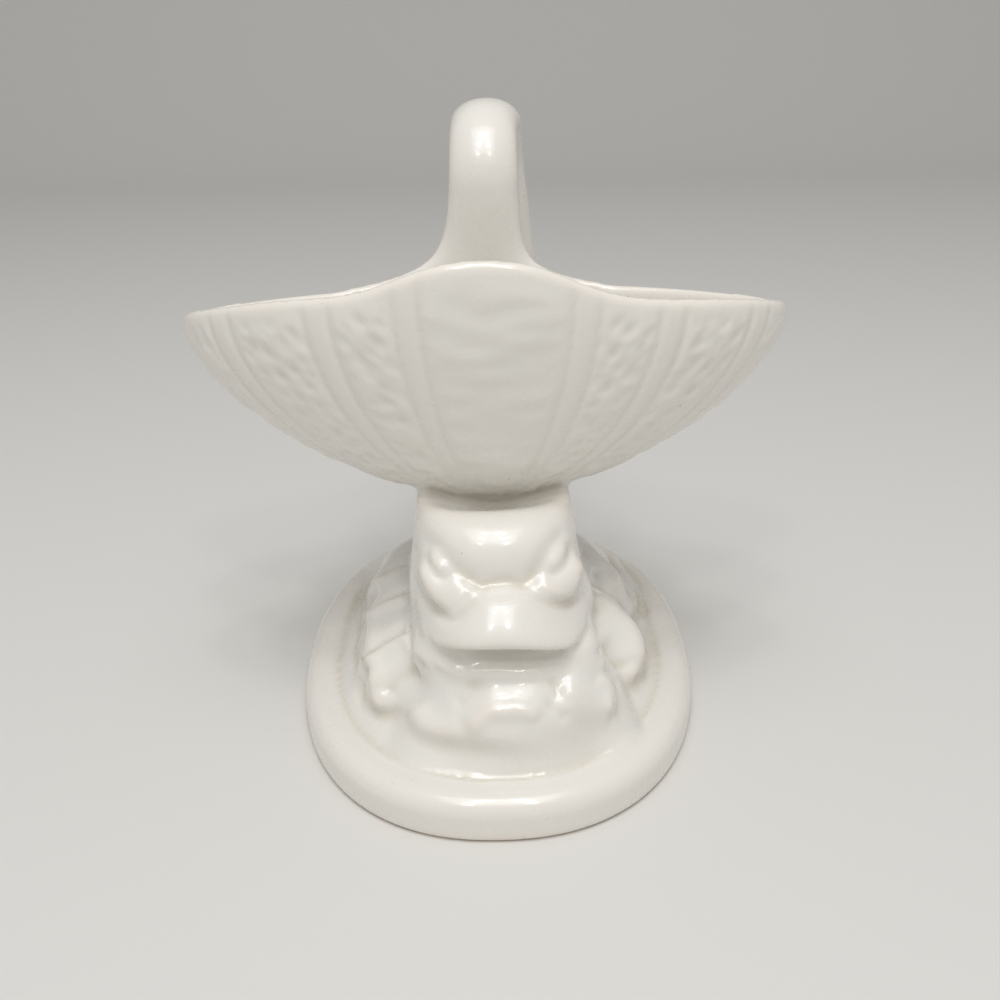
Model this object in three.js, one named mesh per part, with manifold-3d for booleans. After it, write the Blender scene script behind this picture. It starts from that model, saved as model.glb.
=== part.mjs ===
// Fish planter: a slip-cast earthenware sea fish on an oval plinth, with a scallop shell on its crown.
// Millimetres, +Z up, the fish faces -Y. The origin is on the standing surface under the plinth's centre.
// Every casting is a closed solid, and neighbours are trimmed to each other with one luting gap between.

import * as THREE from 'three';
import { mergeVertices } from 'three/addons/utils/BufferGeometryUtils.js';
import Module from 'manifold-3d';

const wasm = await Module();
wasm.setup();

// Slip joint between two castings
const lutingGap = 0.3;

// Plinth: stepped oval foot, low mound, hollow underneath
const plinthWidth = 141;
const plinthLength = 188;
const plinthOutlinePower = 2.26;
const plinthRimHeight = 16;
const plinthRimRounding = 6.5;
const plinthLedge = 13;
const plinthStepDepth = 1.5;
const plinthWall = 5;
const moundHeight = 38;
const moundRidgeWidth = 6;
const footRingWidth = 7;
const footBevel = 1.5;

// Head: forms that a modeller presses together, with reaches forward from the plinth's centre
const headWidth = 55;
const headBackReach = 6;
const headMiddleReach = 32;
const headTurn = 4.5;
const chinSink = 1;
const cheekReach = 62;
const jawReach = 68.5;
const jawWidth = 52;
const jawHeight = 9;
const mouthHeight = 12;
const mouthWidth = 54;
const mouthDepth = 9;
const muzzleReach = 76.5;
const muzzleWidth = 56;
const muzzleRise = 15;
const muzzlePinch = 0.64;
const lipDroop = 10;
const browReach = 64;
const browWidth = 53;
const browThickness = 22;
const browTilt = 36;
const browAboveLip = 18;
const eyeAside = 16.5;
const eyeAboveLip = 13.6;
const eyeReach = 53.5;
const eyeLength = 10;
const eyeHeight = 6.6;
const eyeSlant = 38;
const eyeTurn = 38;
const socketLength = 24;
const socketHeight = 12;
const socketDepth = 8;
const pouchLength = 25;
const pouchHeight = 14;
const pouchDepth = 12;

// Shell bowl: boat-shaped scallop with ribs between panels, resting on the crown
const crownAboveLip = 22;
const shellLength = 186;
const shellDepth = 87;
const shellForward = 18;
const shellAside = -1.5;
const shellHeight = 63.5;
const shellPlanPower = 1.77;
const shellSpreadPower = 1.57;
const shellRisePower = 1.78;
const shellFrontRise = 12;
const shellBackDrop = 2;
const shellCrestRise = 11;
const shellCrestReach = 34;
const shellWingRise = 2.5;
const shellWingAside = -58;
const shellWingReach = 26;
const shellWall = 4.5;
const shellLip = 3.5;
const shellRibAngles = [18, 33, 58];
const shellRibWidth = 6.5;
const shellRibDepth = 1.1;

// Trunk and tail: one tapering sweep from the nape, up behind the shell and over forward to its back rim
const napeAboveMound = 15;
const napeBite = 6;
const napeHeight = 66;
const backHeight = 75;
const waistWidth = 37;
const waistThickness = 29;
const strapWidth = 24;
const strapThickness = 15;
const loopSpan = 38;
const handleHeight = 60;
const tailFootThickness = 6;
const tailFlareSpread = 42;
const tailFlareHeight = 3.7;
const tailFlareLift = 13.3;
const tailChannelDepth = 1.6;

// Fins and waves: lobes that run from the head's flanks down to the foot of the mound
const finPitch = 16;
const finBite = 5;
const finTipSetback = 8.5;
const finRootRise = 4;
const finTipRise = 5;
const waveWidth = 52;
const waveDepth = 38;
const waveHeight = 26;
const waveSink = 13;
const pawWidth = 32;

const glaze = 0xe9e5da;

const degrees = Math.PI / 180;

// Value of a smooth curve through a few [position, value] points, without overshoot
function through(points, at) {
  const last = points.length - 1;
  if (at <= points[0][0]) return points[0][1];
  if (at >= points[last][0]) return points[last][1];
  let k = 0;
  while (at > points[k + 1][0]) k += 1;
  const slope = (i) => (points[i + 1][1] - points[i][1]) / (points[i + 1][0] - points[i][0]);
  const tangent = (i) => {
    if (i === 0) return slope(0);
    if (i === last) return slope(last - 1);
    const before = slope(i - 1);
    const after = slope(i);
    return before * after <= 0 ? 0 : (2 * before * after) / (before + after);
  };
  const span = points[k + 1][0] - points[k][0];
  const u = (at - points[k][0]) / span;
  const rest = 1 - u;
  return points[k][1] * (1 + 2 * u) * rest * rest + points[k + 1][1] * u * u * (3 - 2 * u)
    + tangent(k) * span * u * rest * rest - tangent(k + 1) * span * u * u * rest;
}

// Soft bump of height 1 at zero distance that dies out at about twice the reach
function bump(distance, reach) {
  return Math.exp(-((distance / reach) ** 2));
}

// Point of a superellipse with the given half axes
function superellipse(angle, halfX, halfY, power) {
  const c = Math.cos(angle);
  const s = Math.sin(angle);
  return new THREE.Vector2(
    halfX * Math.sign(c) * Math.abs(c) ** (2 / power),
    halfY * Math.sign(s) * Math.abs(s) ** (2 / power),
  );
}

// Evenly spaced angles of a closed ring
function ringAngles(count) {
  return Array.from({ length: count }, (_, i) => (i / count) * 2 * Math.PI);
}

// Closed solid from a stack of rings with equal counts of points, closed by a fan over each end
function loft(rings, place = new THREE.Matrix4()) {
  const count = rings[0].length;
  const points = rings.flat();
  const index = [];
  for (let r = 0; r < rings.length - 1; r += 1) {
    for (let i = 0; i < count; i += 1) {
      const a = r * count + i;
      const b = r * count + ((i + 1) % count);
      index.push(a, b, b + count, a, b + count, a + count);
    }
  }
  for (const [start, flip] of [[0, true], [(rings.length - 1) * count, false]]) {
    const ring = points.slice(start, start + count);
    const centre = new THREE.Vector3();
    ring.forEach((point) => centre.addScaledVector(point, 1 / count));
    points.push(centre);
    for (let i = 0; i < count; i += 1) {
      const a = start + i;
      const b = start + ((i + 1) % count);
      index.push(...(flip ? [b, a] : [a, b]), points.length - 1);
    }
  }
  const geometry = new THREE.BufferGeometry().setFromPoints(points);
  geometry.setIndex(index);
  return toSolid(geometry.applyMatrix4(place));
}

// Solid from a closed geometry, turned the right way out
function toSolid(geometry) {
  const merged = mergeVertices(geometry, 1e-4);
  const vertProperties = new Float32Array(merged.attributes.position.array);
  const triVerts = new Uint32Array(merged.index.array);
  if (signedVolume(vertProperties, triVerts) < 0) triVerts.reverse();
  return new wasm.Manifold(new wasm.Mesh({ numProp: 3, vertProperties, triVerts }));
}

// Six times the volume that a triangle list encloses, negative where it is inside out
function signedVolume(position, index) {
  const corner = (i) => new THREE.Vector3().fromArray(position, index[i] * 3);
  let total = 0;
  for (let i = 0; i < index.length; i += 3) {
    total += corner(i).dot(corner(i + 1).cross(corner(i + 2)));
  }
  return total;
}

// Several solids joined to one
function joined(solids) {
  return solids.reduce((whole, next) => whole.add(next));
}

// Named mesh of a finished solid
function casting(name, solid) {
  const { vertProperties, triVerts } = solid.getMesh();
  const geometry = new THREE.BufferGeometry();
  geometry.setAttribute('position', new THREE.BufferAttribute(vertProperties, 3));
  geometry.setIndex(new THREE.BufferAttribute(triVerts, 1));
  geometry.computeVertexNormals();
  const material = new THREE.MeshStandardMaterial({ color: glaze, roughness: 0.25, metalness: 0 });
  const mesh = new THREE.Mesh(geometry, material);
  mesh.name = name;
  return mesh;
}

// Plinth

const moundFootInset = plinthLedge + plinthStepDepth;
const moundFootZ = plinthRimHeight - plinthStepDepth;
const moundRidgeInset = (plinthWidth - moundRidgeWidth) / 2;

// Height of the mound at an inset from the plinth's outline
function moundZ(inset) {
  const climb = (inset - moundFootInset) / (moundRidgeInset - moundFootInset);
  return moundFootZ + (moundHeight - moundFootZ) * Math.sin((climb * Math.PI) / 2) ** 0.9;
}

// Inset and height pairs of the plinth's outer profile, from the foot to the ridge of the mound
function plinthProfile() {
  const profile = [[footBevel, 0], [0, footBevel]];
  const roundingSteps = 5;
  for (let i = 0; i <= roundingSteps; i += 1) {
    const turn = (i / roundingSteps) * (Math.PI / 2);
    const inset = plinthRimRounding * (1 - Math.cos(turn));
    profile.push([inset, plinthRimHeight - plinthRimRounding * (1 - Math.sin(turn))]);
  }
  profile.push([plinthLedge, plinthRimHeight]);
  const moundSteps = 5;
  for (let i = 0; i <= moundSteps; i += 1) {
    const inset = moundFootInset + (moundRidgeInset - moundFootInset) * (i / moundSteps) ** 1.4;
    profile.push([inset, moundZ(inset)]);
  }
  return profile;
}

// Oval ring at an inset from the plinth's outline
function plinthRing(inset, z, segments) {
  return ringAngles(segments).map((angle) => {
    const halfX = plinthWidth / 2 - inset;
    const halfY = plinthLength / 2 - inset;
    const p = superellipse(angle, halfX, halfY, plinthOutlinePower);
    return new THREE.Vector3(p.x, p.y, z);
  });
}

// The plinth filled in, grown upwards and sideways where it trims its neighbours
function plinthSolid(grow) {
  const segments = 52;
  return loft(plinthProfile().map(([inset, z]) => plinthRing(inset - grow, z + grow, segments)));
}

// The hollow under the plinth, which follows the mound at the wall's thickness
function plinthHollow() {
  const segments = 36;
  const belowFoot = -1;
  const cornerRounding = 3;
  const roofZ = plinthRimHeight - plinthWall;
  const rings = [
    plinthRing(footRingWidth, belowFoot, segments),
    plinthRing(footRingWidth, roofZ - cornerRounding, segments),
    plinthRing(footRingWidth + cornerRounding, roofZ, segments),
  ];
  for (const share of [0, 0.15, 0.4, 0.7, 0.96]) {
    const inset = moundFootInset + (moundRidgeInset - moundFootInset) * share;
    const steepness = (1 - share) * 0.6;
    rings.push(plinthRing(inset + plinthWall * steepness, moundZ(inset) - plinthWall, segments));
  }
  return loft(rings);
}

// Heights that the castings stack up to

const chinZ = moundHeight - chinSink;
const lowerLipZ = chinZ + jawHeight;
const lipZ = lowerLipZ + mouthHeight;
const browZ = lipZ + browAboveLip;
const shellBottomZ = lipZ + crownAboveLip;
const shellTipZ = shellBottomZ + shellHeight;
const backRimZ = shellTipZ - shellBackDrop;
const handleTopZ = backRimZ + handleHeight;

// Shell bowl

const ribPlateau = 0.8;
const ribShoulder = 1.4;
const columnStep = 6.5 * degrees;
const shellRises = [0.03, 0.12, 0.24, 0.36, 0.48, 0.6, 0.72, 0.83, 0.92];
const innerRises = [0.85, 0.65, 0.45, 0.25, 0.1];
const lipOuterHalf = [[0.12, 0.25], [0.5, 0]];
const lipInnerHalf = [[0.88, 0.25], [1, 1]];

// Plan angles of the ribs, in order, where 90 degrees is the front and 270 the back
function ribCentres() {
  const centres = [90, 270].flatMap((middle) => (
    shellRibAngles.flatMap((turn) => [(middle - turn) * degrees, (middle + turn) * degrees])
  ));
  return centres.sort((a, b) => a - b);
}

const shellRibs = ribCentres();

// Half the angle that a rib's width takes at the rim
function ribHalfAngle(angle) {
  const along = Math.hypot((shellLength / 2) * Math.sin(angle), (shellDepth / 2) * Math.cos(angle));
  return shellRibWidth / 2 / along;
}

// Plan angles of the shell's columns, closer together across each rib
function shellAngles() {
  return shellRibs.flatMap((centre, i) => {
    const half = ribHalfAngle(centre);
    const next = i + 1 < shellRibs.length ? shellRibs[i + 1] : shellRibs[0] + 2 * Math.PI;
    const start = centre + half * ribShoulder;
    const room = next - ribHalfAngle(next) * ribShoulder - start;
    const steps = Math.max(2, Math.round(room / columnStep));
    const rib = [-ribShoulder, -ribPlateau, ribPlateau, ribShoulder].map((share) => centre + half * share);
    const panel = Array.from({ length: steps - 1 }, (_, k) => start + (room * (k + 1)) / steps);
    return [...rib, ...panel];
  });
}

// Depth share of the groove that sets a rib apart from its panels
function ribShare(angle) {
  return Math.max(...shellRibs.map((centre) => {
    const away = Math.abs(Math.atan2(Math.sin(angle - centre), Math.cos(angle - centre)));
    return 1 - THREE.MathUtils.smoothstep(away / ribHalfAngle(centre), ribPlateau, ribShoulder);
  }));
}

// Height of the rim over a plan angle: the front has a crest, and its wing on the left stands a little higher
function rimZ(angle) {
  const depth = Math.sin(angle);
  if (depth < 0) return shellTipZ + shellBackDrop * depth;
  const x = (shellLength / 2) * Math.cos(angle);
  const crest = shellCrestRise * Math.exp(-(Math.abs(x / shellCrestReach) ** 3));
  const wing = shellWingRise * bump(x - shellWingAside, shellWingReach);
  return shellTipZ + (shellFrontRise + crest + wing) * depth;
}

// Point of a shell surface at an inset from the outer one: rise runs from 0 at the bottom to 1 at the rim
function shellPoint(angle, rise, inset, bottomZ, dip) {
  const turn = rise * (Math.PI / 2);
  const out = Math.sin(turn) ** (2 / shellSpreadPower);
  const up = 1 - Math.cos(turn) ** (2 / shellRisePower);
  const plan = superellipse(angle, shellLength / 2 - inset, shellDepth / 2 - inset, shellPlanPower);
  const top = rimZ(angle) - dip;
  const z = bottomZ + (top - bottomZ) * up;
  return new THREE.Vector3(shellAside + plan.x * out, -shellForward - plan.y * out, z);
}

// Rings of the outer surface from the bottom up to the lip, with the ribs sunk between the panels
function shellOuterRings(angles, grow) {
  const rings = shellRises.map((rise) => angles.map((angle) => {
    const fade = THREE.MathUtils.smoothstep(rise, 0.1, 0.4);
    const groove = shellRibDepth * ribShare(angle) * fade;
    return shellPoint(angle, rise, groove - grow, shellBottomZ - grow, 0);
  }));
  rings.push(angles.map((angle) => shellPoint(angle, 1, -grow, shellBottomZ - grow, shellLip - grow)));
  return rings;
}

// Rings round the lip, given as shares of the wall and of the lip's height
function shellLipRings(angles, shares, grow) {
  return shares.map(([share, dip]) => angles.map((angle) => (
    shellPoint(angle, 1, shellWall * share - grow, shellBottomZ, shellLip * dip - grow)
  )));
}

// The shell filled to its rim, grown on every side where it trims its neighbours
function shellFilled(grow) {
  const angles = shellAngles();
  const rings = shellOuterRings(angles, grow);
  rings.push(...shellLipRings(angles, lipOuterHalf, grow));
  rings.push(angles.map((angle) => shellPoint(angle, 1, shellDepth / 4, shellBottomZ, -grow)));
  return loft(rings);
}

// The bowl itself: outer surface, rounded lip, then the smooth inner surface
function shellBowl() {
  const angles = shellAngles();
  const rings = shellOuterRings(angles, 0);
  rings.push(...shellLipRings(angles, [...lipOuterHalf, ...lipInnerHalf], 0));
  const floorZ = shellBottomZ + shellWall;
  for (const rise of innerRises) {
    rings.push(angles.map((angle) => shellPoint(angle, rise, shellWall, floorZ, 0)));
  }
  return loft(rings);
}

// Head

const headSeatZ = moundHeight - plinthWall * 2;
const faceSegments = 32;

// Turn of the face to one side, about the vertical through the head's middle
const headPlace = new THREE.Matrix4()
  .makeTranslation(0, -headMiddleReach, 0)
  .multiply(new THREE.Matrix4().makeRotationZ(headTurn * degrees))
  .multiply(new THREE.Matrix4().makeTranslation(0, headMiddleReach, 0));

// Ring of a boxy oval round the head's middle, with its own reaches to the front and to the back
function faceRing({ halfX, reach, backReach, z, power }) {
  return ringAngles(faceSegments).map((angle) => {
    const p = superellipse(angle, halfX, 1, power);
    const length = p.y > 0 ? reach - headMiddleReach : headMiddleReach - backReach;
    return new THREE.Vector3(p.x, -headMiddleReach - p.y * length, z);
  });
}

// Cheeks and back of the head: a plain block that the other forms are pressed onto
function cheekBlock(grow) {
  const rings = [
    [headSeatZ, 0.49, cheekReach - 4],
    [chinZ, 0.51, cheekReach],
    [lipZ, 0.53, cheekReach + 1],
    [lipZ + muzzleRise * 0.4, 0.525, cheekReach - 3],
    [lipZ + muzzleRise, 0.505, cheekReach - 7],
    [browZ, 0.485, cheekReach - 12],
    [browZ + browThickness * 0.4, 0.47, cheekReach - 28],
  ];
  return loft(rings.map(([z, share, reach]) => faceRing({
    halfX: headWidth * share + grow, reach: reach + grow, backReach: headBackReach - grow, z, power: 2.7,
  })), headPlace);
}

// Muzzle: half a dome with its flat side down as the overhung upper lip, pinched towards the nose
function muzzleDome(grow) {
  const lipRoll = [[-0.12, 0.9], [-0.06, 0.97]].map(([drop, share]) => [lipZ + muzzleRise * drop, share, 0]);
  const steps = 8;
  const nearTop = 0.97;
  const dome = Array.from({ length: steps }, (_, i) => {
    const turn = (i / steps) * (Math.PI / 2) * nearTop;
    return [lipZ + grow + muzzleRise * Math.sin(turn) ** 0.9, Math.cos(turn) ** 0.9, Math.sin(turn)];
  });
  const droop = (point, rise) => {
    point.z -= lipDroop * (point.x / (mouthWidth / 2)) ** 2 * (1 - rise) ** 2;
    return point;
  };
  return loft([...lipRoll, ...dome].map(([z, share, rise]) => faceRing({
    halfX: (muzzleWidth / 2) * share * (1 - muzzlePinch * rise ** 1.4) + grow,
    reach: headMiddleReach + (muzzleReach - headMiddleReach) * share + grow,
    backReach: headMiddleReach - headBackReach,
    z,
    power: 2.5,
  }).map((point) => droop(point, rise))), headPlace);
}

// Lower jaw: a full cushion that runs up under the upper lip
function jawCushion(grow) {
  const rings = [
    [headSeatZ, 0.96, jawReach - 9],
    [chinZ - 4, 1, jawReach - 1],
    [chinZ + jawHeight * 0.5, 1, jawReach],
    [lipZ, 0.98, jawReach],
  ];
  return loft(rings.map(([z, share, reach]) => faceRing({
    halfX: (jawWidth / 2) * share + grow,
    reach: reach + grow,
    backReach: headMiddleReach - headBackReach,
    z,
    power: 2.5,
  })), headPlace);
}

// Egg-shaped form: an ellipsoid with a boxier plan, turned by degrees and put in place
function egg({ centre, half, turn = [0, 0, 0], power = 2, segments, place }, grow) {
  const euler = new THREE.Euler(...turn.map((angle) => angle * degrees));
  const steps = segments / 2;
  const rings = [];
  for (let i = 1; i < steps; i += 1) {
    const tip = (i / steps - 0.5) * Math.PI;
    const halfX = (half[0] + grow) * Math.cos(tip);
    const halfY = (half[1] + grow) * Math.cos(tip);
    const rise = (half[2] + grow) * Math.sin(tip);
    rings.push(ringAngles(segments).map((angle) => {
      const p = superellipse(angle, halfX, halfY, power);
      return new THREE.Vector3(p.x, p.y, rise).applyEuler(euler).add(new THREE.Vector3(...centre));
    }));
  }
  return loft(rings, place);
}

// Forehead: a dome that leans forward and down, so its lower edge is the frowning brow
function brow(grow) {
  return egg({
    centre: [0, -headMiddleReach, browZ],
    half: [browWidth / 2, browReach - headMiddleReach, browThickness / 2],
    turn: [browTilt, 0, 0],
    power: 1.9,
    segments: 26,
    place: headPlace,
  }, grow);
}

// Crescent-shaped hollow of the mouth, deepest in the middle and closed at the corners
function mouthHollow() {
  return egg({
    centre: [0, -jawReach - 1, lipZ - mouthHeight / 2],
    half: [mouthWidth / 2, mouthDepth, mouthHeight / 2],
    segments: 20,
    place: headPlace,
  }, 0);
}

// Eye socket on one side, which is -1 or 1: its upper edge is the frowning brow line
function eyeSocket(side) {
  return egg({
    centre: [side * (eyeAside + 1.4), -eyeReach - 5, lipZ + eyeAboveLip - socketHeight / 4],
    half: [socketLength / 2, socketDepth, socketHeight / 2],
    turn: [0, -side * eyeSlant, side * eyeTurn],
    segments: 18,
    place: headPlace,
  }, 0);
}

// Almond eye on one side, which is -1 or 1
function eyeball(side) {
  return egg({
    centre: [side * eyeAside, -eyeReach + 1.5, lipZ + eyeAboveLip + 0.8],
    half: [eyeLength / 2, eyeLength * 0.42, eyeHeight / 2],
    turn: [0, -side * eyeSlant, side * eyeTurn],
    segments: 14,
    place: headPlace,
  }, 0);
}

// Puffy pouch under the eye on one side, which runs down towards the nose
function eyePouch(side) {
  return egg({
    centre: [side * (eyeAside - 0.5), -eyeReach + 0.5, lipZ + eyeAboveLip - 5],
    half: [pouchLength / 2, pouchDepth / 2, pouchHeight / 2],
    turn: [0, -side * eyeSlant * 0.6, side * eyeTurn],
    segments: 16,
    place: headPlace,
  }, 0);
}

// Oval ring across a line, with its first half axis level and its second upright
function tubeRing(centre, along, halfSide, halfUp, segments) {
  const side = new THREE.Vector3(0, 0, 1).cross(along).normalize();
  const up = along.clone().cross(side);
  return ringAngles(segments).map((angle) => (
    centre.clone()
      .addScaledVector(side, halfSide * Math.cos(angle))
      .addScaledVector(up, halfUp * Math.sin(angle))
  ));
}

// All forms of the head pressed together, then carved
function headSolid() {
  return cheekBlock(0)
    .add(brow(0))
    .subtract(eyeSocket(-1))
    .subtract(eyeSocket(1))
    .add(jawCushion(0).subtract(mouthHollow()))
    .add(joined([-1, 1].map(eyeball)))
    .add(joined([-1, 1].map(eyePouch)))
    .add(muzzleDome(0));
}

// The head without its eyes, grown where it trims its neighbours
function headGrown(grow) {
  return joined([cheekBlock(grow), muzzleDome(grow), jawCushion(grow), brow(grow)]);
}

// Trunk and tail

const napeZ = moundHeight + napeAboveMound;
const shellBackY = shellDepth / 2 - shellForward;
const tailFootY = shellBackY - shellWall / 2;
const rearLegY = tailFootY + loopSpan;
const loopRadius = loopSpan / 2;
const loopCentreZ = handleTopZ - strapThickness / 2 - loopRadius;

// Middle line of the sweep, in the plane of symmetry
function fishSpine() {
  const nape = new THREE.Vector3(0, -headBackReach - napeBite, napeZ);
  const back = new THREE.CubicBezierCurve3(
    nape,
    new THREE.Vector3(0, rearLegY / 2 + 3, napeZ - 4),
    new THREE.Vector3(0, rearLegY + 4, napeZ + backHeight * 0.2),
    new THREE.Vector3(0, rearLegY + 1, napeZ + backHeight),
  );
  const points = [0, 0.2, 0.4, 0.6, 0.8, 1].map((t) => back.getPoint(t));
  const loopSteps = 6;
  for (let i = 0; i <= loopSteps; i += 1) {
    const turn = (i / loopSteps) * Math.PI;
    const y = tailFootY + loopRadius * (1 + Math.cos(turn));
    points.push(new THREE.Vector3(0, y, loopCentreZ + loopRadius * Math.sin(turn)));
  }
  points.push(new THREE.Vector3(0, tailFootY, (loopCentreZ + backRimZ) / 2));
  points.push(new THREE.Vector3(0, tailFootY, backRimZ - shellLip));
  return new THREE.CatmullRomCurve3(points, false, 'centripetal');
}

const spine = fishSpine();
const spineLength = spine.getLength();
const jointShare = 0.56;
const tailShare = 0.72;
const finsEndShare = 0.4;

// Half the width of the sweep at a share of its length and a height
function sweepHalfWidth(share, z) {
  const plain = through([
    [0, headWidth * 0.49],
    [0.16, headWidth * 0.49],
    [0.45, waistWidth * 0.5],
    [0.58, strapWidth * 0.56],
    [0.68, strapWidth * 0.5],
    [1, strapWidth * 0.5],
  ], share);
  if (share < tailShare) return plain;
  const over = Math.max(0, z - backRimZ);
  const sharp = Math.exp(-over / tailFlareHeight);
  const soft = Math.exp(-over / tailFlareLift);
  return plain + tailFlareSpread * (0.73 * sharp + 0.27 * soft);
}

// Half the thickness of the sweep at a share of its length
function sweepHalfThickness(share) {
  return through([
    [0, napeHeight * 0.5],
    [0.14, napeHeight * 0.47],
    [0.3, napeHeight * 0.33],
    [0.45, waistThickness * 0.5],
    [0.6, strapThickness * 0.56],
    [0.68, strapThickness * 0.5],
    [0.88, strapThickness * 0.46],
    [1, tailFootThickness * 0.5],
  ], share);
}

// Where the middle of the back rim's wall lies at a distance aside, as [forward, up] from its lowest point
function backRimShift(x) {
  const halfLength = (shellLength - shellWall) / 2;
  const halfDepth = (shellDepth - shellWall) / 2;
  const share = Math.min(1, Math.abs(x - shellAside) / halfLength);
  const reach = (1 - share ** shellPlanPower) ** (1 / shellPlanPower);
  return [halfDepth * (1 - reach), shellBackDrop * (1 - Math.sqrt(1 - share ** shellPlanPower))];
}

// Ring of the sweep at a share of the spine's length, with the tail's channel and its bend along the rim
function sweepRing(share, grow) {
  const segments = 24;
  const centre = spine.getPointAt(share);
  const along = spine.getTangentAt(share);
  const outward = new THREE.Vector3(0, along.z, -along.y);
  const halfX = sweepHalfWidth(share, centre.z) + grow;
  const halfT = sweepHalfThickness(share) + grow;
  const tail = THREE.MathUtils.smoothstep(share, tailShare, tailShare + 0.08);
  const foot = tail * bump(Math.max(0, centre.z - backRimZ), tailFlareLift);
  return ringAngles(segments).map((angle) => {
    const p = superellipse(angle, halfX, halfT, 2.05);
    const channel = p.y < 0 ? tail * tailChannelDepth * bump(p.x, strapWidth * 0.28) : 0;
    const x = p.x + foot * shellAside;
    const [forward, up] = backRimShift(x);
    const point = centre.clone().addScaledVector(outward, p.y + channel);
    return point.add(new THREE.Vector3(x, -foot * forward, foot * up));
  });
}

// Stretch of the sweep between two shares of the spine's length
function sweepSolid(from, to, steps, grow) {
  const shares = Array.from({ length: steps + 1 }, (_, i) => from + (to - from) * (i / steps));
  return loft(shares.map((share) => sweepRing(share, grow)));
}

// Fins and waves

const finRootX = headWidth / 2 - finBite;
const finTipX = plinthWidth / 2 - moundFootInset - finTipSetback;
const finRootZ = moundHeight + finRootRise;
const finTipZ = moundFootZ + finTipRise;

// One soft lobe on a side, which is -1 or 1: a leaf that swells between its root at the head's flank and
// its tip on the mound, along an arched middle line. Insets and lifts are from the common root and tip
// lines, and every size in the form is a multiple of the pitch of the fronds.
function lobe(side, form, grow) {
  const { rootY, rootIn = 0, rootLift = 0, tipY, tipIn = 0, tipLift = 0, width, height, arch, blunt } = form;
  const offset = (x, y, z) => new THREE.Vector3(x, y, z).multiplyScalar(finPitch);
  const root = offset(-side * rootIn, rootY, rootLift).add(new THREE.Vector3(side * finRootX, 0, finRootZ));
  const tip = offset(-side * tipIn, tipY, tipLift).add(new THREE.Vector3(side * finTipX, 0, finTipZ));
  const middle = root.clone().lerp(tip, 0.55).add(offset(side * arch[0], arch[1], arch[2]));
  const line = new THREE.QuadraticBezierCurve3(root, middle, tip);
  const steps = 7;
  const segments = 10;
  const shoulder = 0.5;
  const tipSwell = 0.04;
  const rings = [];
  for (let i = 0; i <= steps; i += 1) {
    const t = 0.5 - 0.5 * Math.cos((i / steps) * Math.PI);
    const past = Math.max(0, (t - shoulder) / (1 - shoulder));
    const swell = Math.max(tipSwell, (1 - past ** 2) ** blunt * Math.min(1, 0.5 + t * 1.6));
    const halfSide = (width / 2) * finPitch * swell + grow;
    const halfUp = (height / 2) * finPitch * swell + grow;
    rings.push(tubeRing(line.getPoint(t), line.getTangent(t), halfSide, halfUp, segments));
  }
  return loft(rings);
}

// Several lobes on one side joined to one casting
function lobes(side, forms, grow) {
  return joined(forms.map((form) => lobe(side, form, grow)));
}

const frond = { height: 0.62, arch: [0.3, -0.12, 0.3], blunt: 0.45 };
const curl = { height: 0.69, blunt: 0.45 };
const skirt = { height: 0.6, arch: [0.1, 0, 0.1], blunt: 0.5 };

const leftFinLobes = [
  { ...skirt, rootY: -0.2, rootLift: -0.2, tipY: -0.3, tipIn: 0.15, tipLift: -0.1, width: 5.4 },
  { ...frond, rootY: 1.5, rootIn: 0.12, tipY: 2.6, tipIn: 0.3, tipLift: 0.2, width: 1.7 },
  { ...frond, rootY: 0.62, tipY: 1.55, tipLift: 0.1, width: 1.7 },
  { ...frond, rootY: -0.38, tipY: 0.06, tipLift: 0.06, width: 1.7 },
  { ...frond, rootY: -1.31, rootLift: -0.06, tipY: -0.75, width: 1.6 },
  { ...frond, rootY: -2.12, rootLift: -0.12, tipY: -1.8, width: 1.6 },
  {
    ...curl, rootY: -2.6, rootIn: 0.25, rootLift: -0.25,
    tipY: -3.2, tipIn: 0.31, width: 1.3, arch: [0.38, 0, 0.25],
  },
];

const rightFinLobes = [
  { ...skirt, rootY: 1, rootLift: -0.25, tipY: 0.9, tipIn: 0.15, tipLift: -0.1, width: 4.2 },
  {
    ...frond, rootY: 2, rootIn: 0.12, rootLift: -0.2,
    tipY: 2.8, tipIn: 0.19, tipLift: 0.05, width: 1.7, arch: [0.25, 0, 0.2],
  },
  {
    ...frond, rootY: 1.4, rootLift: -0.1,
    tipY: 0, tipIn: -0.05, tipLift: 0.06, width: 1.6, arch: [0.8, 0.5, 0.1],
  },
  {
    ...frond, rootY: 0.5, rootLift: 0.05,
    tipY: -0.5, tipIn: 0.31, tipLift: 0.3, width: 1.4, arch: [0.38, 0.38, 0.2],
  },
];

const rightWaveLobes = [
  {
    ...curl, rootY: -0.88, rootLift: 0.12,
    tipY: -2.69, tipIn: 0.25, width: 1.6, height: 0.88, arch: [0.94, 0.25, 0.25],
  },
  { ...curl, rootY: -1.9, rootLift: -0.12, tipY: -2.9, tipIn: 0.45, width: 1.8, arch: [0.25, 0.12, 0.25] },
];

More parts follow.
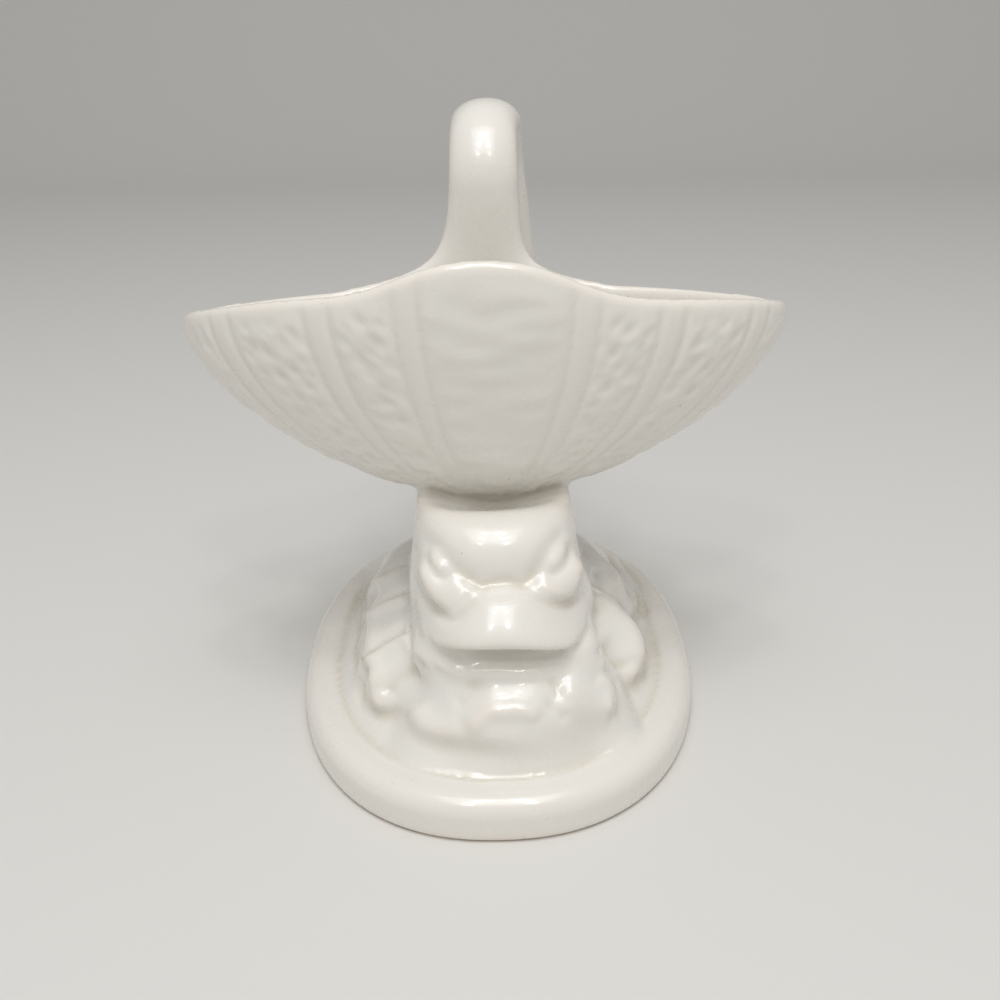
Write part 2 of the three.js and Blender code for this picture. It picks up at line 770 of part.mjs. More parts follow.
const waveZ = lowerLipZ - waveSink;
const chinWaveEggs = [
  {
    centre: [waveWidth * 0.08, waveDepth * 0.27 - jawReach, waveZ],
    half: [waveWidth / 2, waveDepth / 2, waveHeight / 2],
    power: 2.3,
    segments: 20,
  },
  {
    centre: [waveWidth * 0.08, waveDepth * 0.33 - jawReach, waveZ - waveHeight / 2],
    half: [waveWidth * 0.54, waveDepth * 0.58, waveHeight * 0.62],
    power: 2.2,
    segments: 20,
  },
  {
    centre: [-waveWidth * 0.27, waveDepth * 0.2 - jawReach, waveZ - waveHeight * 0.11],
    half: [pawWidth * 0.5, pawWidth * 0.5, pawWidth * 0.35],
    turn: [0, 12, 25],
    segments: 16,
  },
  {
    centre: [waveWidth * 0.5, waveDepth * 0.3 - jawReach, waveZ - waveHeight * 0.11],
    half: [pawWidth * 0.47, pawWidth * 0.42, pawWidth * 0.36],
    turn: [0, -15, -15],
    segments: 16,
  },
];

// The wave under the chin: a cushion that meets the lower lip, its skirt on the mound, a lobe at each side
function chinWaveSolid(grow) {
  return joined(chinWaveEggs.map((form) => egg(form, grow)));
}

// Castings, each trimmed to the ones that carry it

const LEFT = -1;
const RIGHT = 1;
const halfGap = lutingGap / 2 / spineLength;

const seat = plinthSolid(lutingGap);
const shellSeat = shellFilled(lutingGap);
const headSeat = headGrown(lutingGap);
const napeSeat = sweepSolid(0, finsEndShare, 10, lutingGap);
const chinSeat = chinWaveSolid(lutingGap);
const waveSeat = lobes(RIGHT, rightWaveLobes, lutingGap);

// A casting with its seats cut out of it
function trimmed(solid, seats) {
  return seats.reduce((rest, next) => rest.subtract(next), solid);
}

const plinth = trimmed(plinthSolid(0), [plinthHollow()]);
const head = trimmed(headSolid(), [seat, shellSeat]);
const trunk = trimmed(sweepSolid(0, jointShare - halfGap, 16, 0), [headSeat, seat, shellSeat]);
const tail = trimmed(sweepSolid(jointShare + halfGap, 1, 20, 0), [shellSeat]);
const chinWave = trimmed(chinWaveSolid(0), [seat, headSeat]);
const leftFin = trimmed(lobes(LEFT, leftFinLobes, 0), [seat, headSeat, napeSeat, chinSeat]);
const rightWave = trimmed(lobes(RIGHT, rightWaveLobes, 0), [seat, headSeat, napeSeat, chinSeat]);
const rightFin = trimmed(lobes(RIGHT, rightFinLobes, 0), [seat, headSeat, napeSeat, waveSeat]);

const planter = new THREE.Group();
planter.add(
  casting('plinth', plinth),
  casting('chin_wave', chinWave),
  casting('left_fin', leftFin),
  casting('right_wave', rightWave),
  casting('right_fin', rightFin),
  casting('fish_head', head),
  casting('fish_body', trunk),
  casting('tail_handle', tail),
  casting('shell_bowl', shellBowl()),
);

export default planter;
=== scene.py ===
"""Looks of a slip-cast fish planter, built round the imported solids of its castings.

Every casting is modelled in millimetres from soft forms, as a modeller presses clay together. The
forms are then joined to one skin, smoothed and tooled, and parted again along the luted seams, so each
casting is a piece of its own and the glaze runs over the seams without a step.
"""

from __future__ import annotations

import logging
import math
from dataclasses import dataclass, field, fields
from enum import Enum
from typing import Callable, Sequence

import bmesh
import bpy
import numpy as np
from mathutils import Matrix, Vector, kdtree, noise

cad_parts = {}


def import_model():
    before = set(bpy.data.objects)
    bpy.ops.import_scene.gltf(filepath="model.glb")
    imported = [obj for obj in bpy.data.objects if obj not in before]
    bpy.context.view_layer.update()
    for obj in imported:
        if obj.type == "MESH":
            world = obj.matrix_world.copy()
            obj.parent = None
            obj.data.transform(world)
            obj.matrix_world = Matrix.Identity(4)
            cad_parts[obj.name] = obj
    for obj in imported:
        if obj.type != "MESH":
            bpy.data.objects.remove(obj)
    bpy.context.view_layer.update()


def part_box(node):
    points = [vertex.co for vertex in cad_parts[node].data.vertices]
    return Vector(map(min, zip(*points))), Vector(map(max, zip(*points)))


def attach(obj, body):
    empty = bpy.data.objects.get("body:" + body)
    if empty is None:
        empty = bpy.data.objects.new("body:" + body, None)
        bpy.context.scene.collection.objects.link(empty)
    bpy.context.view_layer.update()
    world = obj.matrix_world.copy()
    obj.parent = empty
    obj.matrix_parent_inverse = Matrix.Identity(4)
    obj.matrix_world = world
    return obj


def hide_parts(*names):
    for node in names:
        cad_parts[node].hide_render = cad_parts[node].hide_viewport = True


LOG = logging.getLogger("fish_planter")

MM = 0.001
BODY = "root"

Array = np.ndarray
Points = Sequence[Sequence[float]]
Surface = Callable[[Array, Array], Array]
Ground = Callable[[Array, Array], Array]


class Casting(Enum):
    """The castings that are luted together, by the names of their solids."""

    PLINTH = "plinth"
    CHIN_WAVE = "chin_wave"
    LEFT_FIN = "left_fin"
    RIGHT_WAVE = "right_wave"
    RIGHT_FIN = "right_fin"
    FISH_HEAD = "fish_head"
    FISH_BODY = "fish_body"
    TAIL_HANDLE = "tail_handle"
    SHELL_BOWL = "shell_bowl"


class Side(Enum):
    """Left or right in the photo's view, as the sign of X."""

    LEFT = -1.0
    RIGHT = 1.0


# Curves and arrays


def through(points: Points, at: Array) -> Array:
    """Reads a smooth curve through a few points, without overshoot.

    Args:
        points: Position and value pairs, in order of position.
        at: Positions to read the curve at.

    Returns:
        The curve's values.
    """
    xs, ys = np.array(points, dtype=float).T
    slope = np.diff(ys) / np.diff(xs)
    product = slope[:-1] * slope[1:]
    total = np.where(product > 0, slope[:-1] + slope[1:], 1.0)
    inner = np.where(product > 0, 2 * product / total, 0.0)
    tangent = np.concatenate([slope[:1], inner, slope[-1:]])
    at = np.clip(at, xs[0], xs[-1])
    k = np.clip(np.searchsorted(xs, at) - 1, 0, len(slope) - 1)
    span = xs[k + 1] - xs[k]
    u = (at - xs[k]) / span
    rest = 1 - u
    ends = ys[k] * (1 + 2 * u) * rest**2 + ys[k + 1] * u**2 * (3 - 2 * u)
    return ends + span * u * rest * (tangent[k] * rest - tangent[k + 1] * u)


def spline(points: Points, at: Array) -> Array:
    """Follows a Catmull-Rom line through a few points.

    Args:
        points: Points of the line.
        at: Shares of the line, from 0 to 1.

    Returns:
        One point for each share.
    """
    knots = np.array(points, dtype=float)
    last = len(knots) - 1
    place = np.clip(at, 0, 1) * last
    k = np.clip(place.astype(int), 0, last - 1)
    u = (place - k)[:, None]
    p0 = knots[np.maximum(k - 1, 0)]
    p1 = knots[k]
    p2 = knots[k + 1]
    p3 = knots[np.minimum(k + 2, last)]
    bend = 2 * p0 - 5 * p1 + 4 * p2 - p3
    twist = 3 * (p1 - p2) + p3 - p0
    return 0.5 * (2 * p1 + (p2 - p0) * u + bend * u**2 + twist * u**3)


def ease(at: Array, low: float, high: float) -> Array:
    """Runs smoothly from 0 at low to 1 at high."""
    t = np.clip((at - low) / (high - low), 0, 1)
    return t * t * (3 - 2 * t)


def bump(distance: Array, reach: float) -> Array:
    """Gives a soft bump of height 1 that dies out at about twice its reach."""
    return np.exp(-((distance / reach) ** 2))


def superellipse(angle: Array, half_x: Array, half_y: Array, power: float) -> tuple[Array, Array]:
    """Gives the points of a superellipse with the given half axes.

    Args:
        angle: Angles in radians.
        half_x: Half widths.
        half_y: Half depths.
        power: 2 for an oval, more for a boxier plan.

    Returns:
        X and Y of the points.
    """
    c = np.cos(angle)
    s = np.sin(angle)
    x = half_x * np.sign(c) * np.abs(c) ** (2 / power)
    y = half_y * np.sign(s) * np.abs(s) ** (2 / power)
    return x, y


def unit(vectors: Array) -> Array:
    """Scales vectors to length 1."""
    return vectors / np.maximum(np.linalg.norm(vectors, axis=1, keepdims=True), 1e-12)


def turned(points: Array, degrees: Sequence[float], centre: Sequence[float]) -> Array:
    """Turns points about the axes in the order X, Y, Z and carries them to a centre.

    Args:
        points: Points in millimetres, one in each row.
        degrees: Turns about X, Y and Z.
        centre: Where the origin is carried to.

    Returns:
        The moved points.
    """
    x, y, z = (math.radians(angle) for angle in degrees)
    turn = Matrix.Rotation(x, 3, "X") @ Matrix.Rotation(y, 3, "Y") @ Matrix.Rotation(z, 3, "Z")
    return points @ np.array(turn).T + np.array(centre)


# Meshes


def coordinates(mesh: bpy.types.Mesh) -> Array:
    """Reads a mesh's vertices, in metres.

    Args:
        mesh: The mesh.

    Returns:
        One point for each vertex.
    """
    flat = np.empty(len(mesh.vertices) * 3)
    mesh.vertices.foreach_get("co", flat)
    return flat.reshape(-1, 3)


def normals(mesh: bpy.types.Mesh) -> Array:
    """Reads a mesh's vertex normals.

    Args:
        mesh: The mesh.

    Returns:
        One normal for each vertex.
    """
    flat = np.empty(len(mesh.vertices) * 3)
    mesh.vertex_normals.foreach_get("vector", flat)
    return flat.reshape(-1, 3)


def place_vertices(mesh: bpy.types.Mesh, points: Array) -> None:
    """Moves a mesh's vertices to new places, in metres."""
    mesh.vertices.foreach_set("co", np.ascontiguousarray(points, dtype=float).ravel())
    mesh.update()


def only(*objects: bpy.types.Object) -> None:
    """Selects some objects and nothing else, the first one active.

    Args:
        objects: The objects to select.
    """
    bpy.ops.object.select_all(action="DESELECT")
    for item in objects:
        item.select_set(True)
    bpy.context.view_layer.objects.active = objects[0]


def wrap(name: str, around: int, along: int, surface: Surface) -> bpy.types.Object:
    """Rolls a grid into a closed form.

    Args:
        name: The form's name.
        around: Faces round the form.
        along: Faces from its first end to its last.
        surface: Gives points in millimetres for shares round and along the form.

    Returns:
        The form, with its seam merged and its ends closed.
    """
    bpy.ops.object.select_all(action="DESELECT")
    bpy.ops.mesh.primitive_grid_add(x_subdivisions=around, y_subdivisions=along, size=1)
    form = bpy.context.object
    form.name = name
    flat = coordinates(form.data) + 0.5
    place_vertices(form.data, surface(flat[:, 0], flat[:, 1]) * MM)
    bpy.ops.object.mode_set(mode="EDIT")
    bpy.ops.mesh.select_all(action="SELECT")
    bpy.ops.mesh.remove_doubles(threshold=0.002 * MM)
    bpy.ops.mesh.fill_holes(sides=0)
    bpy.ops.mesh.select_all(action="SELECT")
    bpy.ops.mesh.normals_make_consistent(inside=False)
    bpy.ops.object.mode_set(mode="OBJECT")
    return form


def carve(form: bpy.types.Object, cutter: bpy.types.Object) -> None:
    """Cuts one closed form out of another and removes the cutter.

    Args:
        form: The form that is cut.
        cutter: The form that is cut out of it.
    """
    only(form)
    cut = form.modifiers.new("carve", "BOOLEAN")
    cut.operation = "DIFFERENCE"
    cut.solver = "MANIFOLD"
    cut.object = cutter
    bpy.ops.object.modifier_apply(modifier=cut.name)
    bpy.data.objects.remove(cutter)


def egg_surface(
    centre: Sequence[float],
    half: Sequence[float],
    turn: Sequence[float] = (0, 0, 0),
    power: float = 2.0,
) -> Surface:
    """Describes an ellipsoid with a boxier plan, turned by degrees and put in place.

    Args:
        centre: Its middle, in millimetres.
        half: Half its width, depth and height.
        turn: Degrees that it is turned by.
        power: 2 for an oval, more for a boxier plan.

    Returns:
        The egg's surface.
    """

    def surface(u: Array, v: Array) -> Array:
        """Gives the surface's points.

        Args:
            u: Shares round the form, from 0 to 1.
            v: Shares along it, from 0 to 1.

        Returns:
            Points in millimetres, one in each row.
        """
        tip = (v - 0.5) * math.pi
        x, y = superellipse(u * 2 * math.pi, half[0] * np.cos(tip), half[1] * np.cos(tip), power)
        return turned(np.stack([x, y, half[2] * np.sin(tip)], axis=1), turn, centre)

    return surface


def hill_surface(
    centre: Sequence[float],
    half: Sequence[float],
    turn: Sequence[float] = (0, 0, 0),
    power: float = 2.0,
    shelf: float = 1.0,
    flare: float = 0.06,
) -> Surface:
    """Describes a dome over a skirt that flares a little downwards, so nothing under it is undercut.

    Args:
        centre: Middle of the dome's foot, in millimetres.
        half: Half its width and depth, and the height of the dome and of the skirt.
        turn: Degrees that it is turned by.
        power: Boxiness of its plan.
        shelf: Below 1, the dome is flatter on top and steeper at its edge.
        flare: Share that the skirt widens by.

    Returns:
        The hill's surface.
    """

    def surface(u: Array, v: Array) -> Array:
        """Gives the surface's points.

        Args:
            u: Shares round the form, from 0 to 1.
            v: Shares along it, from 0 to 1.

        Returns:
            Points in millimetres, one in each row.
        """
        tip = (v - 0.5) * math.pi
        dome = np.clip(np.cos(tip), 0, 1) ** shelf
        spread = np.where(tip < 0, 1 - flare * np.sin(tip), dome) * np.clip(v / 0.04, 0, 1)
        x, y = superellipse(u * 2 * math.pi, half[0] * spread, half[1] * spread, power)
        z = half[2] * np.where(tip < 0, np.sin(tip), np.clip(np.sin(tip), 0, 1) ** shelf)
        return turned(np.stack([x, y, z], axis=1), turn, centre)

    return surface


def tube_points(
    centre: Array, along: Array, half_side: Array, half_up: Array, u: Array, deep: float
) -> Array:
    """Gives points of oval rings across a line, level and upright, with lower halves that reach deeper.

    Args:
        centre: Points of the line.
        along: Its directions there.
        half_side: Half widths of the rings.
        half_up: Half heights of the rings.
        u: Shares round the rings.
        deep: How many times deeper their lower halves reach.

    Returns:
        Points in millimetres, one in each row.
    """
    along = unit(along)
    side = unit(np.cross(np.array([0.0, 0.0, 1.0]), along))
    up = np.cross(along, side)
    angle = u * 2 * math.pi
    under_boxiness = 0.6
    under = np.sin(angle) < 0
    aside = np.sign(np.cos(angle)) * np.abs(np.cos(angle)) ** np.where(under, under_boxiness, 1.0)
    raised = np.sin(angle) * np.where(under, deep, 1.0)
    return centre + side * (half_side * aside)[:, None] + up * (half_up * raised)[:, None]


@dataclass
class Form:
    """One closed form of clay and the casting it belongs to."""

    mesh: bpy.types.Object
    casting: Casting


# Castings


@dataclass
class Plinth:
    """Stepped oval foot with a low mound, hollow underneath. Sizes in millimetres."""

    width: float
    length: float
    mound_height: float
    outline_power: float = 2.26
    rim_height: float = 15.0
    rim_rounding: float = 6.0
    ledge: float = 10.5
    step_depth: float = 1.5
    mound_fullness: float = 0.9
    wall: float = 5.0
    ridge_width: float = 6.0
    foot_ring_width: float = 7.0
    foot_bevel: float = 1.5

    @property
    def mound_foot_inset(self) -> float:
        """Inset of the mound's foot from the outline."""
        return self.ledge + self.step_depth

    @property
    def mound_foot_z(self) -> float:
        """Height of the mound's foot, in the crease inside the ledge."""
        return self.rim_height - self.step_depth

    @property
    def ridge_inset(self) -> float:
        """Inset of the mound's ridge from the outline."""
        return (self.width - self.ridge_width) / 2

    def mound_z(self, inset: Array) -> Array:
        """Gives the mound's height at an inset from the outline.

        Args:
            inset: Insets in millimetres.

        Returns:
            Heights in millimetres.
        """
        climb = (inset - self.mound_foot_inset) / (self.ridge_inset - self.mound_foot_inset)
        rise = self.mound_height - self.mound_foot_z
        return self.mound_foot_z + rise * np.sin(np.clip(climb, 0, 1) * math.pi / 2) ** self.mound_fullness

    def ground(self, x: Array, y: Array) -> Array:
        """Gives the mound's height over places in plan, from the inset of the oval through each.

        Args:
            x: Places across, in millimetres.
            y: Places along, in millimetres.

        Returns:
            Heights in millimetres.
        """
        halvings = 30
        low = np.zeros_like(x)
        high = np.full_like(x, self.ridge_inset)
        for _ in range(halvings):
            inset = (low + high) / 2
            across = np.abs(x / (self.width / 2 - inset)) ** self.outline_power
            along = np.abs(y / (self.length / 2 - inset)) ** self.outline_power
            within = across + along < 1
            low = np.where(within, inset, low)
            high = np.where(within, high, inset)
        return self.mound_z(low)

    def ring(self, u: Array, inset: Array, z: Array) -> Array:
        """Gives points of oval rings at insets from the outline.

        Args:
            u: Shares round the form, from 0 to 1.
            inset: Insets in millimetres.
            z: Heights in millimetres.

        Returns:
            Points in millimetres, one in each row.
        """
        half_x = self.width / 2 - inset
        half_y = self.length / 2 - inset
        x, y = superellipse(u * 2 * math.pi, half_x, half_y, self.outline_power)
        return np.stack([x, y, z], axis=1)

    def along_profile(self, profile: Points, u: Array, v: Array) -> Array:
        """Carries a profile of inset and height pairs round the oval.

        Args:
            profile: Inset and height pairs, in millimetres.
            u: Shares round the form, from 0 to 1.
            v: Shares along it, from 0 to 1.

        Returns:
            Points in millimetres, one in each row.
        """
        inset, z = np.array(profile, dtype=float).T
        share = np.concatenate([[0], np.cumsum(np.hypot(np.diff(inset), np.diff(z)))])
        share /= share[-1]
        return self.ring(u, np.interp(v, share, inset), np.interp(v, share, z))

    def outer(self, u: Array, v: Array) -> Array:
        """Gives the plinth's outside, from the foot to the mound's ridge.

        Args:
            u: Shares round the form, from 0 to 1.
            v: Shares along it, from 0 to 1.

        Returns:
            Points in millimetres, one in each row.
        """
        turn = np.linspace(0, math.pi / 2, 12)
        rounding = self.rim_rounding
        corner_z = self.rim_height - rounding * (1 - np.sin(turn))
        corner = np.stack([rounding * (1 - np.cos(turn)), corner_z], axis=1)
        climb = np.linspace(self.mound_foot_inset, self.ridge_inset, 40)
        mound = np.stack([climb, self.mound_z(climb)], axis=1)
        foot = [[self.foot_bevel, 0], [0, self.foot_bevel]]
        profile = np.concatenate([foot, corner, [[self.ledge, self.rim_height]], mound])
        return self.along_profile(profile, u, v)

    def inside(self, u: Array, v: Array) -> Array:
        """Gives the hollow under the plinth, at the wall's thickness below the mound.

        Args:
            u: Shares round the form, from 0 to 1.
            v: Shares along it, from 0 to 1.

        Returns:
            Points in millimetres, one in each row.
        """
        below_foot = -1.0
        corner = 3.0
        roof_end = 0.96
        edge_thickening = 0.6
        roof_z = self.rim_height - self.wall
        share = np.linspace(0, roof_end, 24)
        inset = self.mound_foot_inset + (self.ridge_inset - self.mound_foot_inset) * share
        roof_inset = inset + self.wall * edge_thickening * (1 - share)
        roof = np.stack([roof_inset, self.mound_z(inset) - self.wall], axis=1)
        start = [
            [self.foot_ring_width, below_foot],
            [self.foot_ring_width, roof_z - corner],
            [self.foot_ring_width + corner, roof_z],
        ]
        return self.along_profile(np.concatenate([start, roof]), u, v)

    def forms(self) -> list[Form]:
        """Builds the plinth's filled form."""
        return [Form(wrap("plinth_form", 300, 130, self.outer), Casting.PLINTH)]

    def hollow(self) -> bpy.types.Object:
        """Builds the hollow that is cut out of the finished plinth."""
        return wrap("plinth_hollow", 240, 80, self.inside)


@dataclass
class Head:
    """Fish head: cheeks, overhung muzzle, frowning brow, puffy-lidded eyes.

    Sizes are in millimetres, and reaches run forward from the plinth's centre.
    """

    mound_height: float
    width: float = 55.0
    cheek_boxiness: float = 2.7
    mouth_boxiness: float = 2.5
    brow_boxiness: float = 2.2
    back_reach: float = 6.0
    middle_reach: float = 32.0
    turn: float = 4.5
    seat_depth: float = 10.0
    chin_sink: float = 1.0
    cheek_reach: float = 62.0
    jaw_reach: float = 68.5
    jaw_width: float = 52.0
    jaw_height: float = 9.0
    mouth_height: float = 12.0
    mouth_width: float = 54.0
    mouth_depth: float = 6.5
    muzzle_reach: float = 76.5
    muzzle_width: float = 56.0
    muzzle_rise: float = 15.0
    muzzle_pinch: float = 0.64
    muzzle_flatness: float = 1.15
    muzzle_profile: Points = (
        (0.0, 13.5), (0.3, 13.0), (0.63, 12.0), (0.81, 10.2), (0.9, 6.5), (0.978, 2.2), (1.0, 0.0))
    lip_droop: float = 10.0
    lip_roll: float = 2.2
    brow_reach: float = 60.5
    crown_reach: float = 46.0
    brow_width: float = 52.5
    brow_above_lip: float = 17.0
    crown_above_lip: float = 30.0
    crown_dish: float = 7.0
    crown_narrowing: float = 0.08
    right_fullness: float = 3.2
    eye_aside: float = 16.5
    eye_above_lip: float = 13.6
    eye_reach: float = 54.2
    eye_length: float = 10.0
    eye_height: float = 6.6
    eye_slant: float = 38.0
    eye_turn: float = 38.0
    eye_sink: float = 1.5
    eye_lift: float = 0.8
    eye_bulge: float = 0.42
    socket_length: float = 24.0
    socket_height: float = 12.0
    socket_depth: float = 8.0
    socket_outset: float = 1.4
    socket_forward: float = 5.0
    pouch_length: float = 25.0
    pouch_height: float = 14.0
    pouch_depth: float = 13.5
    pouch_inset: float = 0.5
    pouch_sink: float = 0.5
    pouch_drop: float = 5.0
    pouch_slant: float = 0.6
    mouth_forward: float = 1.0
    shell_seat: float = 22.0

    @property
    def chin_z(self) -> float:
        """Height of the chin, a little below the mound's ridge."""
        return self.mound_height - self.chin_sink

    @property
    def lower_lip_z(self) -> float:
        """Height of the lower lip."""
        return self.chin_z + self.jaw_height

    @property
    def lip_z(self) -> float:
        """Height of the overhung upper lip."""
        return self.lower_lip_z + self.mouth_height

    @property
    def brow_z(self) -> float:
        """Height above which the forehead rounds back."""
        return self.lip_z + self.brow_above_lip

    @property
    def seat_z(self) -> float:
        """Height that the head's forms start from, inside the mound."""
        return self.mound_height - self.seat_depth

    def turned_face(self, points: Array) -> Array:
        """Turns the face to one side, about the vertical through the head's middle."""
        middle = np.array([0, -self.middle_reach, 0])
        return turned(points - middle, (0, 0, self.turn), middle)

    def face_ring(
        self, u: Array, half_x: Array, reach: Array, back: Array | float, z: Array, power: float
    ) -> Array:
        """Gives rings of a boxy oval round the head's middle, with their own reaches to front and back.

        Args:
            u: Shares round the form, from 0 to 1.
            half_x: Half widths in millimetres.
            reach: Reaches of the front.
            back: Reaches of the back.
            z: Heights in millimetres.
            power: 2 for an oval, more for a boxier plan.

        Returns:
            Points in millimetres, one in each row.
        """
        x, y = superellipse(u * 2 * math.pi, half_x, np.ones_like(u), power)
        length = np.where(y > 0, reach - self.middle_reach, self.middle_reach - back)
        return self.turned_face(np.stack([x, -self.middle_reach - y * length, z], axis=1))

    def cheeks(self, u: Array, v: Array) -> Array:
        """Gives the plain block that the other forms are pressed onto.

        Args:
            u: Shares round the form, from 0 to 1.
            v: Shares along it, from 0 to 1.

        Returns:
            Points in millimetres, one in each row.
        """
        lip = self.lip_z
        top = lip + self.muzzle_rise * 1.4
        heights = [self.seat_z, self.chin_z, lip, lip + self.muzzle_rise * 0.4, lip + self.muzzle_rise, top]
        shares = [0.49, 0.505, 0.52, 0.505, 0.475, 0.44]
        set_back = [4, 0, -1, 3, 9, 24]
        z = self.seat_z + (top - self.seat_z) * v
        half_x = self.width * through(list(zip(heights, shares)), z)
        reach = self.cheek_reach - through(list(zip(heights, set_back)), z)
        points = self.face_ring(u, half_x, reach, self.back_reach, z, self.cheek_boxiness)
        return self.filled_out(points)

    def filled_out(self, points: Array) -> Array:
        """Fills the right cheek out at the height of the mouth.

        Args:
            points: Points in millimetres, one in each row.

        Returns:
            The points, moved where they lie.
        """
        half_mouth = self.mouth_height / 2
        full = self.right_fullness * bump(points[:, 2] - self.lip_z + half_mouth, half_mouth)
        points[:, 0] += full * np.maximum(0, points[:, 0]) / (self.width / 2)
        return points

    def muzzle(self, u: Array, v: Array) -> Array:
        """Gives half a dome with its flat side down as the overhung upper lip, pinched towards the nose.

        Args:
            u: Shares round the form, from 0 to 1.
            v: Shares along it, from 0 to 1.

        Returns:
            Points in millimetres, one in each row.
        """
        roll_end = 0.12
        dome_end = 0.98
        pinch_power = 1.4
        roll = np.clip(v / roll_end, 0, 1) * math.pi / 2
        turn = np.clip((v - roll_end) / (1 - roll_end), 0, 1) * math.pi / 2 * dome_end
        inset = self.lip_roll * (1 - np.sin(roll)) / (self.muzzle_width / 2)
        share = np.cos(turn) ** self.muzzle_flatness * (1 - inset)
        rise = np.sin(turn)
        slope = through(self.muzzle_profile, np.cos(turn) ** self.muzzle_flatness)
        z = self.lip_z + slope - self.lip_roll * np.cos(roll)
        half_x = self.muzzle_width / 2 * share * (1 - self.muzzle_pinch * rise**pinch_power)
        reach = self.middle_reach + (self.muzzle_reach - self.middle_reach) * share
        back = self.middle_reach - self.back_reach
        points = self.face_ring(u, half_x, reach, back, z, self.mouth_boxiness)
        points[:, 2] -= self.lip_droop * (points[:, 0] / (self.mouth_width / 2)) ** 2 * (1 - rise) ** 2
        return self.filled_out(points)

    def jaw(self, u: Array, v: Array) -> Array:
        """Gives the full cushion of the lower jaw, which runs up under the upper lip.

        Args:
            u: Shares round the form, from 0 to 1.
            v: Shares along it, from 0 to 1.

        Returns:
            Points in millimetres, one in each row.
        """
        z = self.seat_z + (self.lip_z - self.seat_z) * v
        heights = [self.seat_z, self.chin_z - 4, self.chin_z + self.jaw_height * 0.5, self.lip_z]
        half_x = self.jaw_width / 2 * through(list(zip(heights, [0.96, 1, 1, 0.98])), z)
        reach = self.jaw_reach - through(list(zip(heights, [9, 1, 0, 0])), z)
        back = self.middle_reach - self.back_reach
        return self.face_ring(u, half_x, reach, back, z, self.mouth_boxiness)

    def placed(self, surface: Surface) -> Surface:
        """Turns a form with the face."""
        return lambda u, v: self.turned_face(surface(u, v))

    def brow(self, u: Array, v: Array) -> Array:
        """Gives the forehead, which rounds back from the brow to a crown that is dished for the shell.

        Args:
            u: Shares round the form, from 0 to 1.
            v: Shares along it, from 0 to 1.

        Returns:
            Points in millimetres, one in each row.
        """
        brow_end = 0.2
        crown_start = 0.7
        crown_z = self.lip_z + self.crown_above_lip
        low = np.clip(v / brow_end, 0, 1)
        turn = np.clip((v - brow_end) / (crown_start - brow_end), 0, 1) * math.pi / 2
        dish = ease(v, crown_start, 1.0)
        z = self.lip_z + (self.brow_z - self.lip_z) * low + (crown_z - self.brow_z) * np.sin(turn)
        reach = self.crown_reach + (self.brow_reach - self.crown_reach) * np.cos(turn)
        reach = reach + (self.middle_reach - self.crown_reach) * dish
        half_x = self.brow_width / 2 * (1 - self.crown_narrowing * np.sin(turn) ** 2) * (1 - dish)
        back = self.back_reach + (self.middle_reach - self.back_reach) * dish
        return self.face_ring(u, half_x, reach, back, z - self.crown_dish * dish, self.brow_boxiness)

    def mouth(self) -> Surface:
        """Describes the crescent hollow of the mouth, closed at its corners.

        Returns:
            The hollow's surface.
        """
        centre = (0, -self.jaw_reach - self.mouth_forward, self.lip_z - self.mouth_height / 2)
        half = (self.mouth_width / 2, self.mouth_depth, self.mouth_height / 2)
        return self.placed(egg_surface(centre, half))

    def socket(self, side: Side) -> Surface:
        """Describes an eye socket, whose upper edge is the brow line.

        Args:
            side: The side that it lies on.

        Returns:
            The socket's surface.
        """
        s = side.value
        z = self.lip_z + self.eye_above_lip - self.socket_height / 4
        centre = (s * (self.eye_aside + self.socket_outset), -self.eye_reach - self.socket_forward, z)
        half = (self.socket_length / 2, self.socket_depth, self.socket_height / 2)
        return self.placed(egg_surface(centre, half, (0, -s * self.eye_slant, s * self.eye_turn)))

    def eyeball(self, side: Side) -> Surface:
        """Describes an almond eye.

        Args:
            side: The side that it lies on.

        Returns:
            The eye's surface.
        """
        s = side.value
        z = self.lip_z + self.eye_above_lip + self.eye_lift
        centre = (s * self.eye_aside, -self.eye_reach + self.eye_sink, z)
        half = (self.eye_length / 2, self.eye_length * self.eye_bulge, self.eye_height / 2)
        return self.placed(egg_surface(centre, half, (0, -s * self.eye_slant, s * self.eye_turn)))

    def pouch(self, side: Side) -> Surface:
        """Describes the puffy pouch under an eye, which runs down towards the nose.

        Args:
            side: The side that it lies on.

        Returns:
            The pouch's surface.
        """
        s = side.value
        z = self.lip_z + self.eye_above_lip - self.pouch_drop
        centre = (s * (self.eye_aside - self.pouch_inset), -self.eye_reach + self.pouch_sink, z)
        half = (self.pouch_length / 2, self.pouch_depth / 2, self.pouch_height / 2)
        turn = (0, -s * self.eye_slant * self.pouch_slant, s * self.eye_turn)
        return self.placed(egg_surface(centre, half, turn))

    def forms(self) -> list[Form]:
        """Builds the head's forms, with the sockets and the mouth carved.

        Returns:
            The forms, each with its casting.
        """
        cheeks = wrap("cheek_form", 120, 70, self.cheeks)
        brow = wrap("brow_form", 120, 70, self.brow)
        for block in (cheeks, brow):
            for side in Side:
                carve(block, wrap("socket_cutter", 60, 40, self.socket(side)))
        jaw = wrap("jaw_form", 120, 40, self.jaw)
        carve(jaw, wrap("mouth_cutter", 90, 50, self.mouth()))
        parts = [cheeks, brow, jaw, wrap("muzzle_form", 140, 80, self.muzzle)]
        for side in Side:
            parts.append(wrap("eye_form", 48, 30, self.eyeball(side)))
            parts.append(wrap("pouch_form", 48, 30, self.pouch(side)))
        return [Form(part, Casting.FISH_HEAD) for part in parts]


